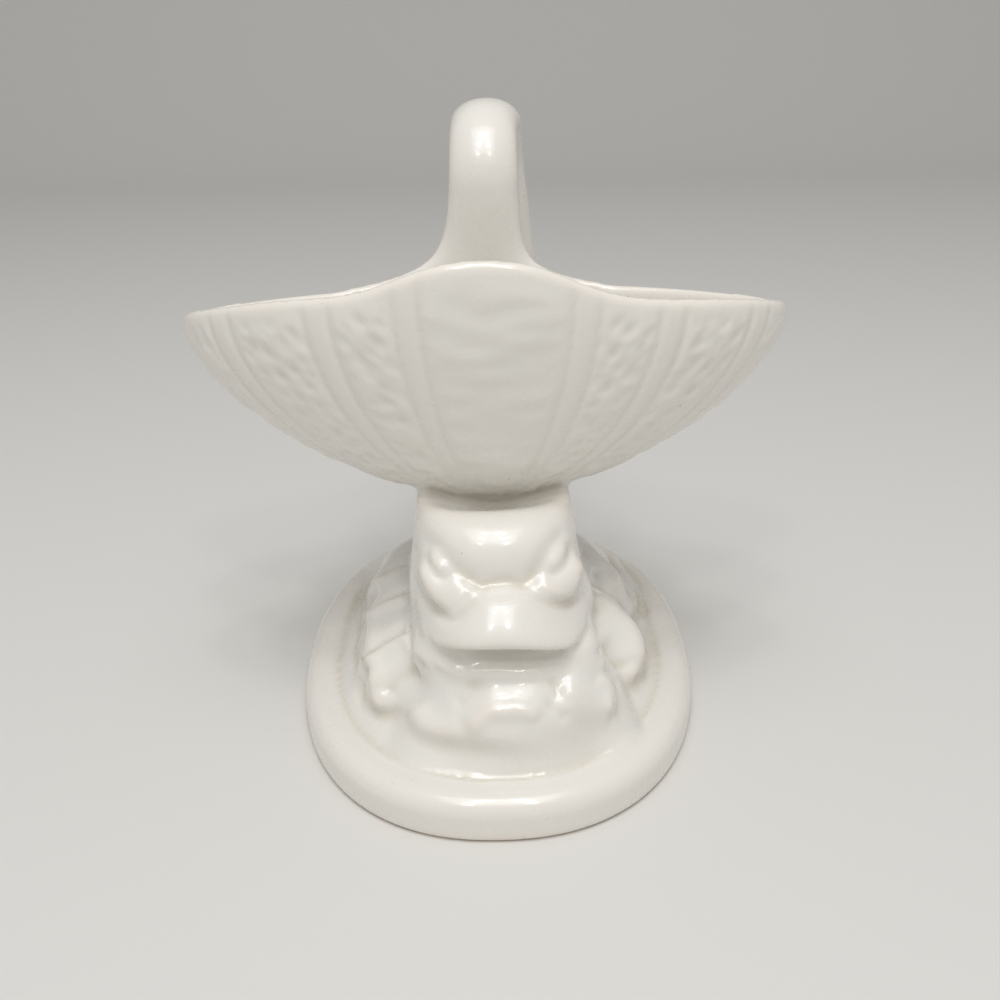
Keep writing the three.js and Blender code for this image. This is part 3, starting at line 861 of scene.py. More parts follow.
@dataclass
class Shell:
    """Boat-shaped scallop bowl with smooth ribs between hammered panels. Sizes in millimetres."""

    bottom_z: float
    length: float = 186.0
    depth: float = 87.0
    forward: float = 18.0
    aside: float = -1.5
    height: float = 63.5
    plan_power: float = 1.77
    spread_power: float = 1.57
    rise_power: float = 1.78
    front_rise: float = 12.0
    back_drop: float = 2.0
    crest_rise: float = 11.0
    crest_reach: float = 34.0
    wing_rise: float = 2.5
    wing_aside: float = -58.0
    wing_reach: float = 26.0
    wall: float = 4.5
    lip: float = 3.5
    rib_angles: tuple[float, ...] = (18.0, 35.0, 60.0)
    rib_turn: float = 2.4
    rib_width: float = 7.5
    crease_depth: float = 0.7
    panel_puff: float = 0.4
    keel_puff: float = 1.6
    keel_width: float = 24.0
    keel_rise: float = 0.36
    keel_height: float = 0.15
    axis_share: float = 0.75
    dent_length: float = 6.0
    dent_width: float = 3.5
    dent_depth: float = 0.9
    dent_spread: float = 0.45
    dent_slant: float = 48.0
    ripple_length: float = 12.0
    ripple_width: float = 5.5
    ripple_depth: float = 0.7

    @property
    def tip_z(self) -> float:
        """Height of the two ends."""
        return self.bottom_z + self.height

    @property
    def back_rim_z(self) -> float:
        """Height of the back rim's lowest point."""
        return self.tip_z - self.back_drop

    @property
    def back_y(self) -> float:
        """Place of the back rim's outside."""
        return self.depth / 2 - self.forward

    def rim_z(self, angle: Array) -> Array:
        """Gives the rim's height over a plan angle, where 90 degrees is the front.

        Args:
            angle: Plan angles in radians, with the front at a quarter turn.

        Returns:
            Heights in millimetres.
        """
        reach = np.sin(angle)
        x = self.length / 2 * np.cos(angle)
        crest = self.crest_rise * np.exp(-(np.abs(x / self.crest_reach) ** 3))
        wing = self.wing_rise * bump(x - self.wing_aside, self.wing_reach)
        front = self.tip_z + (self.front_rise + crest + wing) * reach
        return np.where(reach < 0, self.tip_z + self.back_drop * reach, front)

    def point(self, angle: Array, rise: Array, inset: Array, bottom_z: Array, dip: Array) -> Array:
        """Gives points at an inset from the outer surface, rising from 0 at the bottom to 1 at the rim.

        Args:
            angle: Plan angles in radians, with the front at a quarter turn.
            rise: Shares of the way up, from 0 to 1.
            inset: Insets in millimetres.
            bottom_z: Heights of the bottom.
            dip: How far below the rim they end.

        Returns:
            Points in millimetres, one in each row.
        """
        turn = rise * math.pi / 2
        out = np.sin(turn) ** (2 / self.spread_power)
        up = 1 - np.clip(np.cos(turn), 0, 1) ** (2 / self.rise_power)
        x, y = superellipse(angle, self.length / 2 - inset, self.depth / 2 - inset, self.plan_power)
        z = bottom_z + (self.rim_z(angle) - dip - bottom_z) * up
        return np.stack([self.aside + x * out, -self.forward - y * out, z], axis=1)

    def bowl(self, u: Array, v: Array) -> Array:
        """Gives the bowl: outer surface, rounded lip, then the inner surface down to the floor.

        Args:
            u: Shares round the form, from 0 to 1.
            v: Shares along it, from 0 to 1.

        Returns:
            Points in millimetres, one in each row.
        """
        lip_start = 0.47
        lip_end = 0.53
        angle = u * 2 * math.pi
        over = np.clip((v - lip_start) / (lip_end - lip_start), 0, 1) * math.pi
        outside = np.clip(v / lip_start, 0, 1)
        inside = np.clip((1 - v) / (1 - lip_end), 0, 1)
        rise = np.where(v < 0.5, outside, inside)
        rise = np.where((v > lip_start) & (v < lip_end), 1.0, rise)
        inset = self.wall * (1 - np.cos(over)) / 2
        dip = self.lip * (1 - np.sin(over)) * rise**4
        floor = self.bottom_z + self.wall * (1 - np.cos(over)) / 2
        return self.point(angle, rise, inset, floor, dip)

    def core(self, u: Array, v: Array) -> Array:
        """Gives the shell filled from the middle of its wall up, which trims what carries it.

        Args:
            u: Shares round the form, from 0 to 1.
            v: Shares along it, from 0 to 1.

        Returns:
            Points in millimetres, one in each row.
        """
        angle = u * 2 * math.pi
        half_wall = np.full_like(u, self.wall / 2)
        lid_start = 0.9
        rise = np.clip(v / lid_start, 0, 1)
        lid = np.clip((v - lid_start) / (1 - lid_start), 0, 1) * (self.depth / 4)
        return self.point(angle, rise, half_wall + lid, self.bottom_z + half_wall, half_wall)

    def forms(self) -> list[Form]:
        """Builds the bowl."""
        return [Form(wrap("shell_form", 420, 220, self.bowl), Casting.SHELL_BOWL)]

    def rib_distance(self, angle: Array) -> Array:
        """Gives the distance to the nearest rib's middle at plan angles, in halves of its width.

        Args:
            angle: Plan angles in radians, with the front at a quarter turn.

        Returns:
            Distances, where 1 is a rib's edge.
        """
        nearest = np.full_like(angle, np.inf)
        for middle in (90.0 - self.rib_turn, 270.0):
            for rib in self.rib_angles:
                for centre in np.radians([middle - rib, middle + rib]):
                    x = self.length / 2 * math.sin(centre)
                    half = self.rib_width / 2 / math.hypot(x, self.depth / 2 * math.cos(centre))
                    away = np.abs(np.angle(np.exp(1j * (angle - centre)))) / half
                    nearest = np.minimum(nearest, away)
        return nearest

    def lift(self, points: Array, normal: Array) -> Array:
        """Gives how far the shell's tooling lifts its outside: ribs between creases, and hammered panels.

        Args:
            points: Vertices of the shell, in millimetres.
            normal: Their normals.

        Returns:
            Lift in millimetres for each vertex.
        """
        x = (points[:, 0] - self.aside) / (self.length / 2)
        y = -(points[:, 1] + self.forward) / (self.depth / 2)
        half = self.plan_power / 2
        angle = np.arctan2(np.sign(y) * np.abs(y) ** half, np.sign(x) * np.abs(x) ** half)
        rim_z = self.rim_z(angle)
        up = np.clip((points[:, 2] - self.bottom_z) / (rim_z - self.bottom_z), 0, 1)
        rise = np.arccos(np.clip((1 - up) ** (self.rise_power / 2), -1, 1)) / (math.pi / 2)
        middle = np.tile([0.0, -self.forward, self.tip_z], (len(points), 1))
        middle[:, 0] = points[:, 0] * self.axis_share
        outside = ease(np.sum(normal * unit(points - middle), axis=1), 0.05, 0.35)
        away = self.rib_distance(angle)
        panel = ease(away, 1.1, 1.9) * ease(rim_z - points[:, 2], 2.5, 9.0)
        crease = bump(away - 1, 0.28) * ease(rim_z - points[:, 2], 0.8, 5.0)
        lift = panel * (self.panel_puff - self.hammered(points, angle)) - self.crease_depth * crease
        across = bump(points[:, 0], self.keel_width / 2) * (y > 0)
        lift = lift + self.keel_puff * across * bump(rise - self.keel_rise, self.keel_height)
        return outside * ease(rise, 0.14, 0.34) * lift

    def hammered(self, points: Array, angle: Array) -> Array:
        """Gives the depth of the panels' dents, which slant down to the middle and lie level on it.

        Args:
            points: Vertices in millimetres.
            angle: Their plan angles.

        Returns:
            Depth in millimetres for each vertex.
        """
        aside = np.degrees(np.arcsin(np.clip(np.abs(np.cos(angle + math.radians(self.rib_turn))), 0, 1)))
        level = 1 - ease(aside, 0.55 * self.rib_angles[0], 1.1 * self.rib_angles[0])
        slant = np.radians(self.dent_slant) * np.sign(points[:, 0] - self.aside)
        along = points[:, 0] * np.cos(slant) + points[:, 2] * np.sin(slant)
        across = points[:, 2] * np.cos(slant) - points[:, 0] * np.sin(slant)
        flat = points[:, 1] / self.ripple_length
        dents = np.stack([along / self.dent_length, across / self.dent_width, flat], axis=1)
        metric = "DISTANCE_SQUARED"
        pits = np.array([noise.voronoi(Vector(p), distance_metric=metric)[0][0] for p in dents])
        level_x = points[:, 0] / self.ripple_length
        waves = np.stack([level_x, points[:, 2] / self.ripple_width, flat], axis=1)
        swell = np.array([noise.noise(Vector(p)) for p in waves])
        hollow = self.dent_depth * np.clip(1 - pits / self.dent_spread, 0, 1)
        return (1 - level) * hollow + level * self.ripple_depth * (0.5 + swell)


@dataclass
class Sweep:
    """Trunk and tail: one tapering sweep up behind the shell and over to its back rim. Millimetres."""

    shell: Shell
    mound_height: float
    head_width: float
    head_back_reach: float
    nape_above_mound: float = 15.0
    nape_bite: float = 6.0
    nape_height: float = 66.0
    back_height: float = 75.0
    waist_width: float = 37.0
    waist_thickness: float = 29.0
    strap_width: float = 24.0
    strap_thickness: float = 15.0
    loop_span: float = 38.0
    handle_height: float = 58.5
    foot_thickness: float = 6.0
    flare_spread: float = 42.0
    flare_height: float = 3.7
    flare_lift: float = 13.3
    channel_depth: float = 1.6
    strap_aside: float = -1.0
    strap_narrowing: float = 0.07
    right_flare: float = 0.35
    rear_aside: float = 2.3
    joint_share: float = 0.56
    tail_share: float = 0.72

    def spine(self) -> Array:
        """Gives closely spaced points of the middle line, as Y and Z pairs.

        Returns:
            Pairs in millimetres.
        """
        nape_z = self.mound_height + self.nape_above_mound
        foot_y = self.shell.back_y - self.shell.wall / 2
        rear_y = foot_y + self.loop_span
        radius = self.loop_span / 2
        loop_z = self.shell.back_rim_z + self.handle_height - self.strap_thickness / 2 - radius
        knots = np.array([
            [-self.head_back_reach - self.nape_bite, nape_z],
            [rear_y / 2 + 3, nape_z - 4],
            [rear_y + 4, nape_z + self.back_height * 0.2],
            [rear_y + 1, nape_z + self.back_height],
        ])
        t = np.linspace(0, 1, 80)[:, None]
        back = knots[0] * (1 - t) ** 3 + 3 * knots[1] * t * (1 - t) ** 2
        back = back + 3 * knots[2] * t**2 * (1 - t) + knots[3] * t**3
        turn = np.linspace(0, math.pi, 80)
        loop = np.stack([foot_y + radius * (1 + np.cos(turn)), loop_z + radius * np.sin(turn)], axis=1)
        foot = np.array([[foot_y, self.shell.back_rim_z - self.shell.lip]])
        return np.concatenate([back, loop, foot])

    def half_width(self, share: Array, z: Array, right: Array) -> Array:
        """Gives half the sweep's width at shares of its length and heights, which flares less to the right.

        Args:
            share: Shares of the sweep's length.
            z: Heights in millimetres.
            right: True where the place is on the right.

        Returns:
            Half widths in millimetres.
        """
        strap = self.strap_width
        plain = through([
            [0, self.head_width * 0.49],
            [0.16, self.head_width * 0.49],
            [0.45, self.waist_width * 0.5],
            [0.58, strap * 0.56],
            [0.68, strap * 0.5],
            [1, strap * 0.5],
        ], share)
        over = np.maximum(0, z - self.shell.back_rim_z)
        sharp = np.exp(-over / self.flare_height)
        soft = np.exp(-over / self.flare_lift)
        flare = self.flare_spread * (0.73 * sharp + 0.27 * soft * np.where(right, self.right_flare, 1))
        narrow = 1 - self.strap_narrowing * ease(share, self.tail_share, self.tail_share + 0.08)
        return plain * narrow + np.where(share < self.tail_share, 0, flare)

    def half_thickness(self, share: Array) -> Array:
        """Gives half the sweep's thickness at shares of its length.

        Args:
            share: Shares of the sweep's length.

        Returns:
            Half thicknesses in millimetres.
        """
        return through([
            [0, self.nape_height * 0.5],
            [0.14, self.nape_height * 0.47],
            [0.3, self.nape_height * 0.33],
            [0.45, self.waist_thickness * 0.5],
            [0.6, self.strap_thickness * 0.57],
            [0.7, self.strap_thickness * 0.55],
            [0.88, self.strap_thickness * 0.46],
            [1, self.foot_thickness * 0.5],
        ], share)

    def rim_shift(self, x: Array) -> tuple[Array, Array]:
        """Gives how far forward and up the back rim's middle lies at distances aside.

        Args:
            x: Distances aside, in millimetres.

        Returns:
            Both distances in millimetres.
        """
        power = self.shell.plan_power
        share = np.minimum(1, np.abs(x - self.shell.aside) / ((self.shell.length - self.shell.wall) / 2))
        reach = (1 - share**power) ** (1 / power)
        forward = (self.shell.depth - self.shell.wall) / 2 * (1 - reach)
        return forward, self.shell.back_drop * (1 - np.sqrt(1 - share**power))

    def stretch(self, start: float, end: float) -> Surface:
        """Describes a stretch of the sweep between two shares of its length.

        Args:
            start: Share that it starts at.
            end: Share that it ends at.

        Returns:
            The stretch's surface.
        """
        line = self.spine()
        length = np.concatenate([[0], np.cumsum(np.hypot(*np.diff(line, axis=0).T))])
        length /= length[-1]

        def surface(u: Array, v: Array) -> Array:
            """Gives the surface's points.

            Args:
                u: Shares round the form, from 0 to 1.
                v: Shares along it, from 0 to 1.

            Returns:
                Points in millimetres, one in each row.
            """
            share = start + (end - start) * v
            y = np.interp(share, length, line[:, 0])
            z = np.interp(share, length, line[:, 1])
            step = 0.004
            dy, dz = (
                np.interp(share + step, length, column) - np.interp(share - step, length, column)
                for column in line.T
            )
            size = np.hypot(dy, dz)
            angle = u * 2 * math.pi
            half = self.half_width(share, z, np.cos(angle) > 0)
            p, q = superellipse(angle, half, self.half_thickness(share), 2.05)
            tail = ease(share, self.tail_share, self.tail_share + 0.08)
            groove = self.channel_depth * bump(p, self.strap_width * 0.28) * tail
            q = q + np.where(q < 0, groove, 0)
            foot = tail * bump(np.maximum(0, z - self.shell.back_rim_z), self.flare_lift)
            rear = bump(share - self.joint_share, 0.12)
            x = p + foot * self.shell.aside + (tail - foot) * self.strap_aside + rear * self.rear_aside
            forward, up = self.rim_shift(x)
            return np.stack([x, y + q * dz / size - foot * forward, z - q * dy / size + foot * up], axis=1)

        return surface

    def forms(self) -> list[Form]:
        """Builds the trunk and the tail, which overlap a little at their joint.

        Returns:
            The forms, each with its casting.
        """
        overlap = 0.004
        trunk = wrap("trunk_form", 140, 150, self.stretch(0, self.joint_share + overlap))
        tail = wrap("tail_form", 180, 200, self.stretch(self.joint_share - overlap, 1))
        return [Form(trunk, Casting.FISH_BODY), Form(tail, Casting.TAIL_HANDLE)]


@dataclass
class Lobe:
    """One soft leaf from the head's flank to the mound. Sizes are multiples of the fronds' pitch."""

    root_y: float
    tip_y: float
    width: float
    height: float = 0.62
    arch: tuple[float, float, float] = (0.3, -0.12, 0.3)
    blunt: float = 0.45
    root_in: float = 0.0
    root_lift: float = 0.0
    tip_in: float = 0.0
    tip_lift: float = 0.0


@dataclass
class Fins:
    """Fins and curling wave at the head's flanks. Sizes in millimetres."""

    plinth: Plinth
    head_width: float
    pitch: float = 16.0
    bite: float = 5.0
    tip_setback: float = 11.5
    root_rise: float = 4.0
    tip_rise: float = 5.0
    root_depth: float = 2.5
    left: tuple[Lobe, ...] = (
        Lobe(-0.2, -0.3, 5.0, 0.6, (0.1, 0, 0.1), 0.5, root_lift=-0.2, tip_in=0.5, tip_lift=-0.1),
        Lobe(1.5, 2.6, 1.7, root_in=0.12, tip_in=0.3, tip_lift=0.2),
        Lobe(0.62, 1.55, 1.7, tip_lift=0.1),
        Lobe(-0.38, 0.06, 1.7, tip_lift=0.06),
        Lobe(-1.31, -0.75, 1.6, root_lift=-0.06),
        Lobe(-2.12, -1.8, 1.6, root_lift=-0.12),
        Lobe(-2.6, -3.2, 1.3, 0.69, (0.38, 0, 0.25), 0.45, root_in=0.25, root_lift=-0.25, tip_in=0.31),
    )
    right: tuple[Lobe, ...] = (
        Lobe(1.0, 0.9, 3.8, 0.6, (0.1, 0, 0.1), 0.5, root_lift=-0.25, tip_in=0.35, tip_lift=-0.1),
        Lobe(2.0, 2.8, 1.7, 0.62, (0.25, 0, 0.2), root_in=0.12, root_lift=-0.2, tip_in=0.19, tip_lift=0.05),
        Lobe(1.4, 0.25, 1.4, 0.62, (0.45, 0.4, 0.1), root_lift=-0.1, tip_in=0.1, tip_lift=0.06),
        Lobe(0.5, -0.4, 1.4, 0.62, (0.38, 0.38, 0.2), root_lift=0.05, tip_in=0.5, tip_lift=0.3),
    )
    curl: tuple[Lobe, ...] = (
        Lobe(-0.88, -2.5, 1.45, 0.8, (0.72, 0.25, 0.2), 0.45, root_lift=0.12, tip_in=0.3),
        Lobe(-1.9, -2.8, 1.8, 0.69, (0.2, 0.12, 0.2), 0.45, root_lift=-0.12, tip_in=0.5),
    )

    def leaf(self, side: Side, lobe: Lobe) -> Surface:
        """Describes one lobe along its arched middle line.

        Args:
            side: The side that it lies on.
            lobe: The lobe's sizes.

        Returns:
            The lobe's surface.
        """
        s = side.value
        root_x = self.head_width / 2 - self.bite
        tip_x = self.plinth.width / 2 - self.plinth.mound_foot_inset - self.tip_setback
        root_z = self.plinth.mound_height + self.root_rise
        tip_z = self.plinth.mound_foot_z + self.tip_rise
        root = np.array([-s * lobe.root_in, lobe.root_y, lobe.root_lift]) * self.pitch
        root = root + [s * root_x, 0, root_z]
        tip = np.array([-s * lobe.tip_in, lobe.tip_y, lobe.tip_lift]) * self.pitch
        tip = tip + [s * tip_x, 0, tip_z]
        lift = np.array([s * lobe.arch[0], lobe.arch[1], lobe.arch[2]]) * self.pitch
        middle = root + (tip - root) * 0.55 + lift

        def surface(u: Array, v: Array) -> Array:
            """Gives the surface's points.

            Args:
                u: Shares round the form, from 0 to 1.
                v: Shares along it, from 0 to 1.

            Returns:
                Points in millimetres, one in each row.
            """
            t = 0.5 - 0.5 * np.cos(v * math.pi)
            rest = 1 - t
            centre = np.outer(rest**2, root) + np.outer(2 * rest * t, middle) + np.outer(t**2, tip)
            along = np.outer(rest, middle - root) + np.outer(t, tip - middle)
            past = np.maximum(0, (t - 0.5) / 0.5)
            swell = np.maximum(0.02, (1 - past**2) ** lobe.blunt * np.minimum(1, 0.5 + t * 1.6))
            half_side = lobe.width / 2 * self.pitch * swell
            half_up = lobe.height / 2 * self.pitch * swell
            return tube_points(centre, along, half_side, half_up, u, self.root_depth)

        return surface

    def forms(self) -> list[Form]:
        """Builds every lobe of both fins and of the curling wave.

        Returns:
            The forms, each with its casting.
        """
        groups = [
            (Side.LEFT, self.left, Casting.LEFT_FIN),
            (Side.RIGHT, self.right, Casting.RIGHT_FIN),
            (Side.RIGHT, self.curl, Casting.RIGHT_WAVE),
        ]
        return [
            Form(wrap(f"{casting.value}_form", 40, 40, self.leaf(side, lobe)), casting)
            for side, lobes, casting in groups
            for lobe in lobes
        ]


@dataclass(frozen=True)
class Paw:
    """A lobe beside the chin wave. Shares of the wave's width, of the paw's width and of its sink."""

    aside: float
    back: float
    drop: float
    half_width: float
    cut: float
    turn: float


@dataclass
class ChinWave:
    """Wave under the chin: a broad cushion that meets the lower lip, with a lobe at each side."""

    jaw_reach: float
    lower_lip_z: float
    aside: float = 4.5
    front_reach: float = 79.5
    width: float = 54.0
    depth: float = 46.0
    height: float = 20.0
    sink: float = 1.0
    tilt: float = 11.0
    shelf: float = 0.72
    paw_width: float = 30.0
    paw_sink: float = 9.0
    paw_depth: float = 0.48
    boxiness: float = 2.3
    flare: float = 0.12
    paw_flare: float = 0.2
    paws: tuple[Paw, ...] = (Paw(-0.33, 0.68, 0.1, 0.6, 1.0, 25.0), Paw(0.42, 0.84, 0.0, 0.5, 0.6, -15.0))
    corner: tuple[float, float, float] = (10.0, 10.0, 8.0)
    corner_places: tuple[float, ...] = (-19.0, 26.0)
    corner_setback: float = 12.0
    corner_sink: float = 3.0

    def forms(self) -> list[Form]:
        """Builds the cushion and its two lobes.

        Returns:
            The forms, each with its casting.
        """
        foot_z = self.lower_lip_z - self.sink - self.height
        paw = self.paw_width
        half = (self.width / 2, self.depth / 2, self.height)
        centre = (self.aside, half[1] - self.front_reach, foot_z)
        tilt = (self.tilt, 0, 0)
        surfaces = [hill_surface(centre, half, tilt, self.boxiness, self.shelf, self.flare)]
        for lobe in self.paws:
            x = self.aside + self.width * lobe.aside
            y = paw * lobe.back - self.front_reach
            z = foot_z - self.paw_sink * lobe.drop
            size = (paw * lobe.half_width, paw * self.paw_depth, self.height - self.paw_sink * lobe.cut)
            surfaces.append(hill_surface((x, y, z), size, (0, 0, lobe.turn), flare=self.paw_flare))
        for x in self.corner_places:
            corner_z = self.lower_lip_z - self.corner_sink
            surfaces.append(egg_surface((x, self.corner_setback - self.jaw_reach, corner_z), self.corner))
        return [Form(wrap("chin_wave_form", 90, 50, surface), Casting.CHIN_WAVE) for surface in surfaces]


# Tool marks


class Mark(Enum):
    """What a modelling tool leaves along a line: a groove, a ridge, or a step up to the line's right."""

    CREASE = "crease"
    RIDGE = "ridge"
    STEP = "step"


@dataclass(frozen=True)
class Stroke:
    """One tool mark. Width and depth in millimetres, the line in pixels of the photo's frame."""

    mark: Mark
    width: float
    depth: float
    line: Points

    def lift(self, place: Array, scale: Array) -> Array:
        """Gives how far the mark lifts the clay.

        Args:
            place: Pixels that points of the clay show at.
            scale: Millimetres per pixel at those points.

        Returns:
            Lift in millimetres for each point.
        """
        steps = 8 * (len(self.line) - 1)
        line = spline(self.line, np.linspace(0, 1, steps + 1))
        best = np.full(len(place), np.inf)
        side = np.zeros(len(place))
        share = np.zeros(len(place))
        for k in range(steps):
            along = line[k + 1] - line[k]
            offset = place - line[k]
            t = np.clip(offset @ along / (along @ along), 0, 1)
            away = np.hypot(*(offset - t[:, None] * along).T)
            nearer = away < best
            best[nearer] = away[nearer]
            side[nearer] = np.sign(along[0] * offset[:, 1] - along[1] * offset[:, 0])[nearer]
            share[nearer] = ((k + t) / steps)[nearer]
        distance = best * scale / self.width
        fade = ease(share, 0.0, 0.15) * (1 - ease(share, 0.85, 1.0))
        if self.mark is Mark.STEP:
            return self.depth * fade * side * distance * np.exp(0.5 - 0.5 * distance**2)
        sign = 1 if self.mark is Mark.RIDGE else -1
        return sign * self.depth * fade * bump(distance, 1.0)


@dataclass(frozen=True)
class PhotoView:
    """The photo's viewpoint, which the tool marks are seen from. Millimetres, degrees and pixels."""

    place: tuple[float, float, float] = (2.0, -321.9, 220.0)
    pitch: float = 65.0
    roll: float = -1.2
    focal: float = 1000.0
    centre: float = 500.0

    def turn(self) -> Matrix:
        """Gives the viewpoint's rotation."""
        pitch = Matrix.Rotation(math.radians(self.pitch), 4, "X")
        return pitch @ Matrix.Rotation(math.radians(self.roll), 4, "Z")

    def project(self, points: Array) -> tuple[Array, Array]:
        """Gives pixels and distances for points in millimetres.

        Args:
            points: Points in millimetres, one in each row.

        Returns:
            The pixels, and the distances in millimetres.
        """
        seen = (points - np.array(self.place)) @ np.array(self.turn().to_3x3())
        distance = -seen[:, 2]
        across = self.centre + self.focal * seen[:, 0] / distance
        down = self.centre - self.focal * seen[:, 1] / distance
        return np.stack([across, down], axis=1), distance

    def shown(self, points: Array, normal: Array) -> Array:
        """Tells which points are in view: turned to the viewpoint and not behind others.

        Args:
            points: Points in millimetres.
            normal: Their normals.

        Returns:
            True for each point in view.
        """
        cell_size = 3.0
        reach = 4.0
        place, distance = self.project(points)
        facing = np.sum(normal * unit(np.array(self.place) - points), axis=1) > 0.02
        cell = np.clip(place / cell_size, 0, 2 * self.centre / cell_size).astype(int)
        key = cell[:, 0] * int(2 * self.centre) + cell[:, 1]
        front = np.full(key.max() + 1, np.inf)
        np.minimum.at(front, key, distance)
        return facing & (distance < front[key] + reach)


@dataclass(frozen=True)
class Tooling:
    """Marks that the modeller pressed into the face, the fins and the waves."""

    view: PhotoView = PhotoView()
    reach: float = 3.5
    grazing: tuple[float, float] = (0.05, 0.35)
    brow_left: Stroke = Stroke(Mark.STEP, 1.6, 0.8, (
        (418, 543), (429, 547), (441, 558), (453, 571), (467, 583), (481, 588)))
    brow_right: Stroke = Stroke(Mark.STEP, 1.6, 0.8, (
        (530, 587), (540, 573), (551, 554), (560, 542), (568, 532)))
    eye_left: Stroke = Stroke(Mark.RIDGE, 2.6, 0.8, ((430, 550), (436, 560), (445, 572)))
    eye_right: Stroke = Stroke(Mark.RIDGE, 2.6, 0.8, ((564, 546), (559, 558), (552, 568)))
    lid_left: Stroke = Stroke(Mark.CREASE, 1.0, 1.1, (
        (428, 546), (429, 556), (432, 568), (438, 576), (447, 577), (455, 573)))
    lid_right: Stroke = Stroke(Mark.CREASE, 1.0, 1.1, (
        (568, 540), (567, 556), (563, 567), (553, 573), (543, 571)))
    pouch_left: Stroke = Stroke(Mark.STEP, 1.6, 1.0, (
        (478, 590), (469, 597), (461, 606), (451, 613), (439, 605), (427, 591), (420, 573), (417, 556)))
    pouch_right: Stroke = Stroke(Mark.STEP, 1.6, 0.9, (
        (581, 543), (582, 568), (579, 586), (571, 597), (558, 599), (544, 595), (530, 588)))
    puff_left: Stroke = Stroke(Mark.RIDGE, 3.4, 0.6, ((423, 562), (432, 582), (446, 594), (464, 591)))
    puff_right: Stroke = Stroke(Mark.RIDGE, 3.4, 0.6, ((577, 560), (573, 578), (560, 587), (540, 586)))
    nose_arc: Stroke = Stroke(Mark.CREASE, 1.3, 1.0, (
        (474, 590), (489, 584), (504, 581), (518, 583), (531, 588)))
    cheek_left: Stroke = Stroke(Mark.CREASE, 1.2, 1.3, (
        (416, 541), (411, 552), (405, 563), (408, 577), (410, 593), (413, 615), (416, 631), (425, 646)))
    cheek_right: Stroke = Stroke(Mark.CREASE, 1.2, 1.3, (
        (596, 569), (595, 590), (594, 605), (591, 622), (587, 635), (581, 645), (570, 653)))
    lower_lip: Stroke = Stroke(Mark.RIDGE, 1.6, 1.6, (
        (432, 655), (440, 662), (450, 668), (462, 673), (476, 673), (490, 671), (505, 671), (520, 672),
        (540, 669), (558, 664)))
    lip_valley: Stroke = Stroke(Mark.CREASE, 3.0, 0.9, ((474, 674), (474, 686), (466, 698), (454, 706)))
    left_paw: Stroke = Stroke(Mark.STEP, 2.8, 0.8, (
        (545, 753), (472, 743), (440, 739), (422, 733), (413, 725), (409, 714), (408, 703)))
    left_paw_back: Stroke = Stroke(Mark.RIDGE, 3.5, 1.0, (
        (414, 706), (424, 721), (443, 728), (460, 725)))
    wave_ridge: Stroke = Stroke(Mark.RIDGE, 2.6, 1.8, (
        (464, 728), (478, 721), (491, 711), (506, 711), (516, 709), (531, 712), (541, 718)))
    right_fold_upper: Stroke = Stroke(Mark.CREASE, 1.6, 1.0, (
        (550, 677), (555, 688), (561, 698), (567, 704)))
    right_fold_lower: Stroke = Stroke(Mark.CREASE, 1.6, 1.0, (
        (545, 699), (551, 706), (558, 713), (567, 720)))
    right_paw: Stroke = Stroke(Mark.STEP, 2.2, 1.6, (
        (600, 670), (609, 677), (615, 687), (617, 697), (615, 708), (610, 716)))
    right_paw_back: Stroke = Stroke(Mark.RIDGE, 5.5, 2.2, (
        (560, 690), (580, 699), (595, 704), (610, 705)))
    frond_1: Stroke = Stroke(Mark.STEP, 1.6, 2.0, (
        (372, 580), (385, 575), (394, 571), (400, 568), (405, 564)))
    frond_2: Stroke = Stroke(Mark.STEP, 1.6, 2.1, (
        (362, 616), (372, 611), (380, 605), (390, 600), (400, 597), (409, 592)))
    frond_3: Stroke = Stroke(Mark.STEP, 1.6, 2.1, (
        (363, 660), (373, 655), (383, 646), (394, 640), (403, 635), (414, 629)))
    frond_edge: Stroke = Stroke(Mark.STEP, 2.0, 1.8, (
        (398, 704), (390, 708), (380, 709), (373, 703), (370, 692), (370, 681), (371, 669), (365, 664),
        (361, 660), (360, 652), (363, 641), (366, 630), (362, 622), (362, 614), (364, 605), (367, 593),
        (372, 583), (375, 571), (380, 554)))
    frond_drop: Stroke = Stroke(Mark.RIDGE, 3.6, 1.1, ((416, 640), (396, 657), (382, 673), (375, 688)))
    frond_gap: Stroke = Stroke(Mark.CREASE, 3.0, 1.8, (
        (423, 660), (413, 669), (400, 677), (392, 684), (385, 695)))
    leaf_edge: Stroke = Stroke(Mark.STEP, 2.0, 1.7, (
        (618, 552), (617, 558), (622, 567), (630, 578), (636, 590), (638, 602), (636, 611), (630, 617)))
    leaf_inside: Stroke = Stroke(Mark.STEP, 1.6, 1.5, (
        (611, 589), (610, 580), (606, 570), (598, 559), (588, 550), (583, 545)))
    leaf_hollow: Stroke = Stroke(Mark.CREASE, 2.8, 1.8, (
        (598, 566), (600, 575), (600, 584), (598, 593)))
    curl_edge: Stroke = Stroke(Mark.STEP, 2.2, 1.8, (
        (594, 592), (604, 595), (612, 601), (621, 609), (631, 619), (638, 630), (642, 642), (643, 655),
        (641, 667), (636, 676), (631, 682), (622, 689)))
    curl_back: Stroke = Stroke(Mark.RIDGE, 4.0, 1.2, (
        (600, 607), (612, 622), (625, 635), (631, 648), (632, 662)))
    curl_hollow: Stroke = Stroke(Mark.CREASE, 3.2, 1.8, (
        (602, 642), (612, 652), (619, 663), (621, 672)))
    curl_lip: Stroke = Stroke(Mark.RIDGE, 1.8, 0.9, ((600, 660), (608, 665), (615, 671), (620, 677)))

    def strokes(self) -> list[Stroke]:
        """Lists the marks in order."""
        values = (getattr(self, item.name) for item in fields(self))
        return [value for value in values if isinstance(value, Stroke)]

